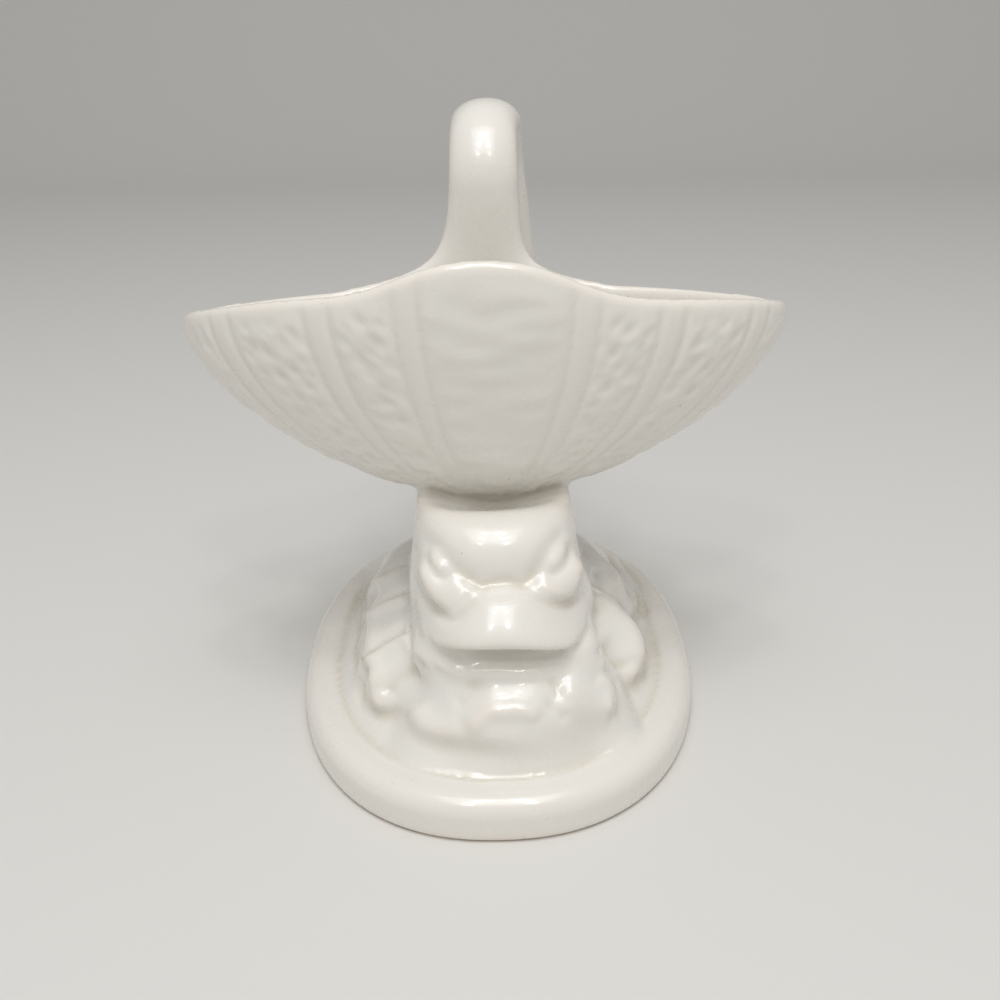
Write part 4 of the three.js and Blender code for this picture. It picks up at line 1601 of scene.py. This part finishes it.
    def lift(self, points: Array, normal: Array) -> Array:
        """Gives how far all marks together lift the clay.

        Args:
            points: Vertices in millimetres.
            normal: Their normals.

        Returns:
            Lift in millimetres for each vertex.
        """
        shown = np.flatnonzero(self.view.shown(points, normal))
        place, distance = self.view.project(points[shown])
        scale = distance / self.view.focal
        total = np.zeros(len(shown))
        for stroke in self.strokes():
            margin = self.reach * stroke.width / scale.min()
            line = np.array(stroke.line, dtype=float)
            near = np.all((place > line.min(axis=0) - margin) & (place < line.max(axis=0) + margin), axis=1)
            total[near] += stroke.lift(place[near], scale[near])
        facing = np.sum(normal[shown] * unit(np.array(self.view.place) - points[shown]), axis=1)
        lift = np.zeros(len(points))
        lift[shown] = total * ease(facing, *self.grazing)
        return lift


# Joining, smoothing and parting


@dataclass
class Skin:
    """One glazed skin over all forms, which is parted into castings along the luted seams."""

    voxel: float = 0.88
    passes: int = 60
    melt_passes: int = 220
    even_passes: int = 3
    softness: dict[Casting, float] = field(default_factory=lambda: {
        Casting.PLINTH: 0.1,
        Casting.CHIN_WAVE: 1.0,
        Casting.LEFT_FIN: 1.0,
        Casting.RIGHT_WAVE: 1.0,
        Casting.RIGHT_FIN: 1.0,
        Casting.FISH_HEAD: 0.75,
        Casting.FISH_BODY: 0.3,
        Casting.TAIL_HANDLE: 0.1,
        Casting.SHELL_BOWL: 0.04,
    })
    melting: dict[Casting, float] = field(default_factory=lambda: {
        Casting.CHIN_WAVE: 1.0,
        Casting.LEFT_FIN: 0.8,
        Casting.RIGHT_WAVE: 0.6,
        Casting.RIGHT_FIN: 0.8,
    })
    flange: float = 1.2
    roof_rings: int = 8
    weight_passes: int = 30
    melt_spread: int = 60
    least_melt: float = 0.02
    chin_melt: float = 4.0
    lean_passes: int = 6
    mark_passes: int = 4
    relief_passes: int = 3
    broad_passes: int = 8
    cavity_passes: int = 6
    cavity_depth: float = 0.16
    seam_passes: int = 12

    def remesh(self, item: bpy.types.Object) -> None:
        """Gives an object an even mesh that joins all forms in it.

        Args:
            item: The object.
        """
        only(item)
        even = item.modifiers.new("even", "REMESH")
        even.mode = "VOXEL"
        even.voxel_size = self.voxel * MM
        bpy.ops.object.modifier_apply(modifier=even.name)

    def joined(self, forms: list[Form], name: str) -> bpy.types.Object:
        """Joins forms to one object.

        Args:
            forms: The forms.
            name: The joined object's name.

        Returns:
            The joined object.
        """
        only(*(form.mesh for form in forms))
        bpy.ops.object.join()
        whole = bpy.context.object
        whole.name = name
        return whole

    def finder(self, forms: list[Form]) -> tuple[kdtree.KDTree, Array]:
        """Makes a tree of the forms' vertices, with the casting's number for each.

        Args:
            forms: The forms.

        Returns:
            The tree and the numbers.
        """
        order = list(Casting)
        points = [coordinates(form.mesh.data) for form in forms]
        marks = [np.full(len(p), order.index(form.casting)) for p, form in zip(points, forms)]
        every = np.concatenate(points)
        tree = kdtree.KDTree(len(every))
        for k, point in enumerate(every):
            tree.insert(point, k)
        tree.balance()
        return tree, np.concatenate(marks)

    def smooth(self, whole: bpy.types.Object, castings: Array, chin_z: float) -> None:
        """Evens the mesh all over, then softens each casting by its share of the passes.

        Args:
            whole: The skin.
            castings: The casting's number for each vertex.
            chin_z: Height below which the head melts into the wave under it, in millimetres.
        """
        mesh = whole.data
        order = list(Casting)
        weights = np.array([self.softness[casting] for casting in Casting])[castings]
        weights = np.round(neighbour_mean(mesh, weights, self.weight_passes), 2)
        group = whole.vertex_groups.new(name="soft")
        for value in np.unique(weights):
            group.add(np.flatnonzero(weights == value).tolist(), float(value), "REPLACE")
        only(whole)
        for passes, name in ((self.even_passes, ""), (self.passes, group.name)):
            soften = whole.modifiers.new("soften", "SMOOTH")
            soften.factor = 0.5
            soften.iterations = passes
            soften.vertex_group = name
            bpy.ops.object.modifier_apply(modifier=soften.name)
        whole.vertex_groups.clear()
        points = coordinates(mesh)
        on_head = castings == order.index(Casting.FISH_HEAD)
        below = ease(chin_z - points[:, 2] / MM, 0.0, self.chin_melt) * on_head
        melt = np.array([self.melting.get(casting, 0.0) for casting in Casting])[castings]
        melt = neighbour_mean(mesh, np.maximum(melt, below), self.melt_spread)
        melt = np.where(melt > self.least_melt, melt, 0)
        place_vertices(mesh, relaxed(mesh, points, melt, self.melt_passes))

    def tool(self, whole: bpy.types.Object, castings: Array, shell: Shell) -> None:
        """Presses the shell's relief and the modeller's marks into the skin, each a little softened.

        Args:
            whole: The skin.
            castings: The casting's number for each vertex.
            shell: The shell's sizes.
        """
        mesh = whole.data
        points = coordinates(mesh) / MM
        lean = unit(neighbour_mean(mesh, normals(mesh), self.lean_passes))
        lift = neighbour_mean(mesh, Tooling().lift(points, lean), self.mark_passes)
        on_shell = castings == list(Casting).index(Casting.SHELL_BOWL)
        lift[on_shell] += shell.lift(points[on_shell], lean[on_shell])
        lift = neighbour_mean(mesh, lift, self.relief_passes)
        place_vertices(mesh, (points + lean * lift[:, None]) * MM)

    def nearest(self, whole: bpy.types.Object, tree: kdtree.KDTree, marks: Array) -> Array:
        """Gives the number of the nearest form's casting for each vertex."""
        return np.array([marks[tree.find(point)[1]] for point in coordinates(whole.data)])

    def cavity(self, whole: bpy.types.Object) -> Array:
        """Gives how hollow the skin is at each vertex, from -1 on edges to 1 in creases.

        Args:
            whole: The skin.

        Returns:
            One value for each vertex.
        """
        mesh = whole.data
        points = coordinates(mesh) / MM
        broad = neighbour_mean(mesh, points, self.broad_passes)
        lean = np.sum((broad - points) * normals(mesh), axis=1)
        return np.clip(neighbour_mean(mesh, lean, self.cavity_passes) / self.cavity_depth, -1, 1)

    def part(self, whole: bpy.types.Object, castings: Array) -> list[tuple[Casting, bpy.types.Object]]:
        """Parts the skin into its castings.

        Args:
            whole: The skin.
            castings: The casting's number for each vertex.

        Returns:
            Each casting with its piece, still open along the seams.
        """
        mesh = whole.data
        steady = np.stack([castings == k for k in range(len(Casting))], axis=1).astype(float)
        castings = np.argmax(neighbour_mean(mesh, steady, self.seam_passes), axis=1)
        starts = np.empty(len(mesh.polygons), dtype=np.int32)
        mesh.polygons.foreach_get("loop_start", starts)
        corners = np.empty(len(mesh.loops), dtype=np.int32)
        mesh.loops.foreach_get("vertex_index", corners)
        mesh.materials.clear()
        for casting in Casting:
            mesh.materials.append(bpy.data.materials.new(casting.value))
        mesh.polygons.foreach_set("material_index", castings[corners[starts]].astype(np.int32))
        only(whole)
        bpy.ops.object.mode_set(mode="EDIT")
        bpy.ops.mesh.select_all(action="SELECT")
        bpy.ops.mesh.separate(type="MATERIAL")
        bpy.ops.object.mode_set(mode="OBJECT")
        pieces = list(bpy.context.selected_objects)
        return [(Casting(piece.data.materials[0].name), piece) for piece in pieces]

    def roof_over(self, made: bmesh.types.BMesh, ground: Ground) -> None:
        """Carries open seams inwards in rings that lie a flange below the ground.

        Args:
            made: The piece's mesh.
            ground: Gives the ground's height over places in plan, in millimetres.
        """
        for loop in open_loops(made):
            middle = np.mean([vertex.co[:2] for edge in loop for vertex in edge.verts], axis=0)
            for left in range(self.roof_rings + 1, 1, -1):
                rolled = bmesh.ops.extrude_edge_only(made, edges=loop)["geom"]
                vertices = [item for item in rolled if isinstance(item, bmesh.types.BMVert)]
                edges = [item for item in rolled if isinstance(item, bmesh.types.BMEdge)]
                loop = [edge for edge in edges if edge.is_boundary]
                places = np.array([vertex.co[:2] for vertex in vertices])
                places += (middle - places) / left
                heights = ground(*(places.T / MM)) - self.flange
                for vertex, (x, y), z in zip(vertices, places, heights):
                    vertex.co = (x, y, z * MM)

    def close(self, piece: bpy.types.Object, ground: Ground | None = None) -> None:
        """Turns a piece's open seams inwards and closes them, with the skin's own normals kept.

        Args:
            piece: A casting that is still open along its seams.
            ground: For a casting that others stand on, its height under them.
        """
        mesh = piece.data
        made = bmesh.new()
        made.from_mesh(mesh)
        lean = made.verts.layers.float_vector["skin_normal"]
        rim = [edge for edge in made.edges if edge.is_boundary]
        before = len(made.faces)
        rolled = bmesh.ops.extrude_edge_only(made, edges=rim)["geom"]
        for vertex in (item for item in rolled if isinstance(item, bmesh.types.BMVert)):
            vertex.co -= vertex[lean] * self.flange * MM
        if ground:
            self.roof_over(made, ground)
        inner = [edge for edge in made.edges if edge.is_boundary]
        bmesh.ops.holes_fill(made, edges=inner)
        hidden = [face for face in made.faces if face.index >= before or face.index < 0]
        bmesh.ops.triangulate(made, faces=[face for face in hidden if len(face.verts) > 4])
        made.faces.ensure_lookup_table()
        made.faces.index_update()
        made.to_mesh(mesh)
        made.free()
        mesh.update()
        self.keep_normals(mesh, before)

    def keep_normals(self, mesh: bpy.types.Mesh, skin_faces: int) -> None:
        """Gives the skin's faces the normals they had before parting, so no seam shows.

        Args:
            mesh: The mesh.
            skin_faces: How many faces, the first ones, belong to the skin.
        """
        lean = np.empty(len(mesh.vertices) * 3)
        mesh.attributes["skin_normal"].data.foreach_get("vector", lean)
        corners = np.empty(len(mesh.loops), dtype=np.int32)
        mesh.loops.foreach_get("vertex_index", corners)
        counts = np.empty(len(mesh.polygons), dtype=np.int32)
        mesh.polygons.foreach_get("loop_total", counts)
        flat = np.empty(len(mesh.polygons) * 3)
        mesh.polygons.foreach_get("normal", flat)
        shown = np.repeat(np.arange(len(counts)) < skin_faces, counts)
        skin = lean.reshape(-1, 3)[corners]
        plain = np.repeat(flat.reshape(-1, 3), counts, axis=0)
        mesh.polygons.foreach_set("use_smooth", np.ones(len(counts), dtype=bool))
        mesh.normals_split_custom_set(np.where(shown[:, None], skin, plain))
        mesh.attributes.remove(mesh.attributes["skin_normal"])

    def cast(
        self,
        plinth: Plinth,
        shell: Shell,
        fish: Sequence[object],
        chin_z: float,
        glaze: bpy.types.Material,
    ) -> None:
        """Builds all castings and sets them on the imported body.

        Args:
            plinth: The plinth's sizes.
            shell: The shell's sizes.
            fish: The classes that give the forms between them.
            chin_z: Height below which the head melts into the wave under it, in millimetres.
            glaze: The glaze's material.
        """
        carried = [form for part in fish for form in part.forms()]
        outer = plinth.forms() + shell.forms()
        hollow = plinth.hollow()
        tree, marks = self.finder(carried + outer + [Form(hollow, Casting.PLINTH)])
        body = self.joined(carried, "fish_forms")
        self.remesh(body)
        carve(body, wrap("shell_core", 240, 90, shell.core))
        whole = self.joined([Form(body, Casting.FISH_BODY)] + outer, "planter_skin")
        self.remesh(whole)
        castings = self.nearest(whole, tree, marks)
        self.smooth(whole, castings, chin_z)
        self.tool(whole, castings, shell)
        carve(whole, hollow)
        castings = self.nearest(whole, tree, marks)
        mesh = whole.data
        LOG.info("skin of %d vertices", len(mesh.vertices))
        # How hollow the skin is, which the glaze reads to paint shade into creases and to tint edges.
        pool = mesh.attributes.new("pool", "FLOAT", "POINT")
        pool.data.foreach_set("value", self.cavity(whole))
        kept = mesh.attributes.new("skin_normal", "FLOAT_VECTOR", "POINT")
        kept.data.foreach_set("vector", normals(mesh).ravel())
        for casting, piece in self.part(whole, castings):
            self.close(piece, plinth.ground if casting is Casting.PLINTH else None)
            piece.name = f"{casting.value}_casting"
            piece.data.materials.clear()
            piece.data.materials.append(glaze)
            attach(piece, BODY)
            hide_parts(casting.value)
            LOG.info("%s: %d faces", piece.name, len(piece.data.polygons))


def open_loops(made: bmesh.types.BMesh) -> list[list[bmesh.types.BMEdge]]:
    """Sorts a mesh's open edges into loops.

    Args:
        made: The mesh, open for editing.

    Returns:
        The edges of each loop.
    """
    made.edges.index_update()
    waiting = {edge.index: edge for edge in made.edges if edge.is_boundary}
    loops = []
    while waiting:
        loop = [waiting.pop(next(iter(waiting)))]
        for edge in loop:
            beside = [other.index for vertex in edge.verts for other in vertex.link_edges]
            loop.extend(waiting.pop(index) for index in beside if index in waiting)
        loops.append(loop)
    return loops


def edge_ends(mesh: bpy.types.Mesh) -> Array:
    """Reads the two vertices of each edge.

    Args:
        mesh: The mesh.

    Returns:
        Two vertex numbers for each edge.
    """
    ends = np.empty(len(mesh.edges) * 2, dtype=np.int32)
    mesh.edges.foreach_get("vertices", ends)
    return ends.reshape(-1, 2)


def relaxed(mesh: bpy.types.Mesh, points: Array, weights: Array, passes: int) -> Array:
    """Draws points towards the middle of their neighbours.

    Args:
        mesh: The mesh whose edges join neighbours.
        points: One point for each vertex.
        weights: How strongly each is drawn, from 0 to 1.
        passes: How often to draw.

    Returns:
        The relaxed points. Those with no weight stay where they are.
    """
    ends = edge_ends(mesh)
    ends = ends[(weights > 0)[ends].any(axis=1)]
    used, local = np.unique(ends, return_inverse=True)
    a, b = local.reshape(-1, 2).T
    count = np.bincount(local.ravel(), minlength=len(used))[:, None]
    pull = 0.5 * weights[used][:, None]
    part = points[used]
    for _ in range(passes):
        columns = [np.bincount(a, c[b], len(used)) + np.bincount(b, c[a], len(used)) for c in part.T]
        part = part + pull * (np.stack(columns, axis=1) / count - part)
    moved = points.copy()
    moved[used] = part
    return moved


def neighbour_mean(mesh: bpy.types.Mesh, values: Array, passes: int) -> Array:
    """Averages a value at vertices with its neighbours'.

    Args:
        mesh: The mesh whose edges join neighbours.
        values: One value or vector for each vertex.
        passes: How often to average.

    Returns:
        The averaged values.
    """
    ends = edge_ends(mesh)
    a, b = ends.T
    count = np.bincount(ends.ravel(), minlength=len(values)).astype(float)
    columns = values.reshape(len(values), -1).astype(float)
    for _ in range(passes):
        total = np.empty_like(columns)
        for k in range(columns.shape[1]):
            column = columns[:, k]
            total[:, k] = np.bincount(a, column[b], len(values)) + np.bincount(b, column[a], len(values))
        columns = 0.5 * (columns + total / np.maximum(count, 1)[:, None])
    return columns.reshape(values.shape)


# Finishes


def linear(colour: str) -> tuple[float, float, float, float]:
    """Turns an sRGB hex colour to linear values.

    Args:
        colour: The colour, with its number sign.

    Returns:
        Red, green, blue and alpha.
    """
    shares = [int(colour[k:k + 2], 16) / 255 for k in (1, 3, 5)]
    red, green, blue = (s / 12.92 if s <= 0.04045 else ((s + 0.055) / 1.055) ** 2.4 for s in shares)
    return red, green, blue, 1.0


def add_node(
    tree: bpy.types.NodeTree, kind: str, settings: dict[str, object] | None = None, **links: object
) -> bpy.types.Node:
    """Adds a node with its settings and links.

    Args:
        tree: The node tree.
        kind: The node's type.
        settings: Attributes by name, and input values by their socket's name or number.
        links: Output sockets to link, by the input socket's name with underscores for spaces.

    Returns:
        The node.
    """
    node = tree.nodes.new(kind)
    for name, value in (settings or {}).items():
        if isinstance(name, str) and hasattr(node, name):
            setattr(node, name, value)
        else:
            node.inputs[name].default_value = value
    for name, output in links.items():
        key = int(name[1:]) if name[1:].isdigit() else name.replace("_", " ")
        tree.links.new(output, node.inputs[key])
    return node


@dataclass(frozen=True)
class GlazedEarthenware:
    """Opaque warm white glaze, dipped and fired over slip-cast earthenware.

    The glaze is glass over a pale body: a clear soft highlight, a painted shade that darkens and warms it
    in creases, a faint warm tint where it ran thin over edges, a ripple left by the dip, and a few pinholes
    and iron specks.
    """

    glaze: str = "#E9E6DF"
    # Painted shade: the darker, warmer colour that creases are given.
    pooled: str = "#DBD3C4"
    thin: str = "#EBE4DA"
    speck: str = "#7A6650"
    bisque: str = "#D8C7AC"
    roughness: float = 0.27
    coat: float = 0.5
    coat_roughness: float = 0.08
    ior: float = 1.5
    ripple_mm: float = 9.0
    peel_mm: float = 1.6
    speck_spacing_mm: float = 11.0
    speck_mm: float = 0.35
    foot_mm: float = 0.9

    def material(self) -> bpy.types.Material:
        """Builds the glaze's material.

        Returns:
            The material.
        """
        made = bpy.data.materials.new("glazed_slip_cast_earthenware")
        made.use_nodes = True
        tree = made.node_tree
        tree.nodes.clear()
        place = add_node(tree, "ShaderNodeTexCoord").outputs["Object"]
        pool = add_node(tree, "ShaderNodeAttribute", {"attribute_name": "pool"}).outputs["Fac"]
        per_metre = 1 / MM
        ripple = add_node(tree, "ShaderNodeTexNoise", {
            "Scale": per_metre / self.ripple_mm, "Detail": 3.0, "Roughness": 0.5,
        }, Vector=place).outputs["Fac"]
        peel = add_node(tree, "ShaderNodeTexNoise", {
            "Scale": per_metre / self.peel_mm, "Detail": 2.0, "Roughness": 0.45,
        }, Vector=place).outputs["Fac"]
        # Painted shade: creases darken towards that colour by how hollow the skin is there.
        crease_shade_share = self.ranged(tree, pool, (0.15, 1.0), (0.0, 0.75))
        bare = self.ranged(tree, pool, (-0.15, -1.0), (0.0, 0.8))
        uneven = self.ranged(tree, ripple, (0.45, 0.75), (0.0, 0.3))
        colour = self.blended(tree, uneven, linear(self.glaze), linear(self.thin))
        colour = self.blended(tree, bare, colour, linear(self.thin))
        colour = self.blended(tree, crease_shade_share, colour, linear(self.pooled))
        colour = self.blended(tree, self.specks(tree, place), colour, linear(self.speck))
        foot = self.foot(tree, place)
        colour = self.blended(tree, foot, colour, linear(self.bisque))
        gloss = self.ranged(tree, ripple, (0.3, 0.7), (self.roughness - 0.05, self.roughness + 0.06))
        rough = add_node(tree, "ShaderNodeMath", {"operation": "MULTIPLY_ADD", 1: 0.6}, _0=foot, _2=gloss)
        wave = add_node(tree, "ShaderNodeBump", {
            "Strength": 0.35, "Distance": 0.25 * MM,
        }, Height=ripple).outputs["Normal"]
        skin = add_node(tree, "ShaderNodeBump", {
            "Strength": 0.25, "Distance": 0.03 * MM,
        }, Height=peel, Normal=wave).outputs["Normal"]
        shader = add_node(tree, "ShaderNodeBsdfPrincipled", {
            "IOR": self.ior,
            "Coat Weight": self.coat,
            "Coat Roughness": self.coat_roughness,
            "Coat IOR": self.ior,
        }, Base_Color=colour, Roughness=rough.outputs[0], Normal=skin)
        add_node(tree, "ShaderNodeOutputMaterial", Surface=shader.outputs["BSDF"])
        return made

    def ranged(
        self, tree: bpy.types.NodeTree, value: object, source: Sequence[float], target: Sequence[float]
    ) -> object:
        """Maps a value from one range to another, held at the ends.

        Args:
            tree: The node tree.
            value: Output socket of the value.
            source: Start and end of its range.
            target: What they are mapped to.

        Returns:
            The mapped value's output socket.
        """
        return add_node(tree, "ShaderNodeMapRange", {
            "From Min": source[0], "From Max": source[1], "To Min": target[0], "To Max": target[1],
        }, Value=value).outputs["Result"]

    def blended(self, tree: bpy.types.NodeTree, share: object, under: object, over: object) -> object:
        """Blends two colours, each a value or an output socket, and returns the blend's output.

        Args:
            tree: The node tree.
            share: Output socket of the upper colour's share.
            under: The lower colour.
            over: The upper colour.

        Returns:
            The blend's output socket.
        """
        mix = add_node(tree, "ShaderNodeMix", {"data_type": "RGBA"})
        tree.links.new(share, mix.inputs[0])
        for number, colour in ((6, under), (7, over)):
            if isinstance(colour, tuple):
                mix.inputs[number].default_value = colour
            else:
                tree.links.new(colour, mix.inputs[number])
        return mix.outputs[2]

    def specks(self, tree: bpy.types.NodeTree, place: object) -> object:
        """Draws sparse iron specks and pinholes and returns their mask.

        Args:
            tree: The node tree.
            place: Output socket with the place on the object.

        Returns:
            The mask's output socket.
        """
        cells = add_node(tree, "ShaderNodeTexVoronoi", {
            "Scale": 1 / (self.speck_spacing_mm * MM), "Randomness": 1.0,
        }, Vector=place)
        size = self.speck_mm / self.speck_spacing_mm
        return self.ranged(tree, cells.outputs["Distance"], (size, size * 0.4), (0.0, 0.7))

    def foot(self, tree: bpy.types.NodeTree, place: object) -> object:
        """Masks the wiped foot ring, where the bisque is bare, and returns the mask."""
        height = add_node(tree, "ShaderNodeSeparateXYZ", Vector=place).outputs["Z"]
        return self.ranged(tree, height, (self.foot_mm * MM, self.foot_mm * 0.4 * MM), (0.0, 1.0))


@dataclass(frozen=True)
class StudioFloor:
    """Matt pale paper sweep, lit evenly, that keeps the planter's soft shadow."""

    colour: str = "#DEDCD8"
    roughness: float = 0.9

    def material(self) -> bpy.types.Material:
        """Builds the paper's material.

        Returns:
            The material.
        """
        made = bpy.data.materials.new("matt_paper_sweep")
        made.use_nodes = True
        shader = made.node_tree.nodes["Principled BSDF"]
        shader.inputs["Base Color"].default_value = linear(self.colour)
        shader.inputs["Roughness"].default_value = self.roughness
        return made


# Studio


@dataclass
class Studio:
    """Pale sweep, soft lamps, and a camera at the photo's viewing angle. Sizes in metres."""

    floor_size: float = 4.0
    wall_height: float = 2.0
    sweep_radius: float = 0.6
    sensor: float = 36.0
    view: PhotoView = PhotoView()
    world: str = "#FFFFFF"
    world_strength: float = 0.42
    lamp_distance: float = 1.3
    lamp_size: float = 0.09
    lamp_power: float = 0.9
    softbox_size: float = 1.0
    softbox_distance: float = 1.4
    softbox_elevation: float = 68.0
    softbox_power: float = 6.5
    lamp_azimuths: tuple[float, ...] = (-16.0, 16.0)
    lamp_elevations: tuple[float, ...] = (46.0, 60.0, 74.0)
    target: tuple[float, float, float] = (0.0, -0.02, 0.09)

    def sweep(self) -> bpy.types.Object:
        """Builds the floor with a wall that it curves up into.

        Returns:
            The floor.
        """
        bpy.ops.object.select_all(action="DESELECT")
        bpy.ops.mesh.primitive_plane_add(size=self.floor_size)
        floor = bpy.context.object
        floor.name = "paper_sweep"
        edge = self.floor_size / 2
        bpy.ops.object.mode_set(mode="EDIT")
        bpy.ops.mesh.select_all(action="DESELECT")
        bpy.ops.object.mode_set(mode="OBJECT")
        for line in floor.data.edges:
            line.select = all(floor.data.vertices[v].co.y > edge * 0.9 for v in line.vertices)
        bpy.ops.object.mode_set(mode="EDIT")
        bpy.ops.mesh.select_mode(type="EDGE")
        bpy.ops.mesh.extrude_region_move(TRANSFORM_OT_translate={"value": (0, 0, self.wall_height)})
        bpy.ops.object.mode_set(mode="OBJECT")
        for line in floor.data.edges:
            ends = [floor.data.vertices[v].co for v in line.vertices]
            line.select = all(end.y > edge * 0.9 and end.z < self.wall_height * 0.1 for end in ends)
        bpy.ops.object.mode_set(mode="EDIT")
        bpy.ops.mesh.bevel(offset=self.sweep_radius, segments=16, affect="EDGES")
        bpy.ops.object.mode_set(mode="OBJECT")
        bpy.ops.object.shade_smooth()
        floor.data.materials.append(StudioFloor().material())
        return floor

    def lamp(
        self, name: str, azimuth: float, elevation: float, distance: float, size: float, power: float
    ) -> None:
        """Adds a square lamp that faces the planter from an azimuth and an elevation in degrees.

        Args:
            name: The lamp's name.
            azimuth: Degrees to the right of the front.
            elevation: Degrees above the level.
            distance: Distance in metres.
            size: Side of the square, in metres.
            power: Power in watts.
        """
        side = math.radians(azimuth)
        up = math.radians(elevation)
        level = distance * math.cos(up)
        away = Vector((level * math.sin(side), -level * math.cos(side), distance * math.sin(up)))
        bpy.ops.object.light_add(type="AREA", location=Vector(self.target) + away)
        lamp = bpy.context.object
        lamp.name = name
        lamp.data.shape = "SQUARE"
        lamp.data.size = size
        lamp.data.energy = power
        lamp.rotation_euler = away.to_track_quat("Z", "Y").to_euler()

    def light(self) -> None:
        """Adds the lamps and the even light of the room."""
        for elevation in self.lamp_elevations:
            for azimuth in self.lamp_azimuths:
                name = f"lamp_{elevation:.0f}_{'left' if azimuth < 0 else 'right'}"
                self.lamp(name, azimuth, elevation, self.lamp_distance, self.lamp_size, self.lamp_power)
        box = (self.softbox_elevation, self.softbox_distance, self.softbox_size, self.softbox_power)
        self.lamp("softbox", 0.0, *box)
        world = bpy.data.worlds.new("studio_room")
        world.use_nodes = True
        background = world.node_tree.nodes["Background"]
        background.inputs["Color"].default_value = linear(self.world)
        background.inputs["Strength"].default_value = self.world_strength
        bpy.context.scene.world = world

    def camera(self) -> None:
        """Adds the camera at the photo's viewing angle."""
        bpy.ops.object.camera_add()
        camera = bpy.context.object
        camera.name = "photo_camera"
        camera.data.lens = self.sensor * self.view.focal / (2 * self.view.centre)
        camera.data.sensor_width = self.sensor
        place = Matrix.Translation([distance * MM for distance in self.view.place])
        camera.matrix_world = place @ self.view.turn()
        bpy.context.scene.camera = camera

    def build(self) -> None:
        """Builds the whole studio."""
        self.sweep()
        self.light()
        self.camera()
        bpy.context.scene.view_settings.view_transform = "Standard"


def main() -> None:
    """Builds the planter's castings and the studio round them."""
    logging.basicConfig(level=logging.INFO, format="%(message)s")
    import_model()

    low, high = (np.array(corner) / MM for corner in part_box("plinth"))
    plinth = Plinth(width=high[0] - low[0], length=high[1] - low[1], mound_height=high[2])
    head = Head(mound_height=plinth.mound_height)
    shell = Shell(bottom_z=head.lip_z + head.shell_seat)
    sweep = Sweep(shell, plinth.mound_height, head.width, head.back_reach)
    fins = Fins(plinth, head.width)
    wave = ChinWave(head.jaw_reach, head.lower_lip_z)

    glaze = GlazedEarthenware().material()
    Skin().cast(plinth, shell, [head, sweep, fins, wave], head.lower_lip_z, glaze)
    Studio().build()


if __name__ == "__main__":
    main()
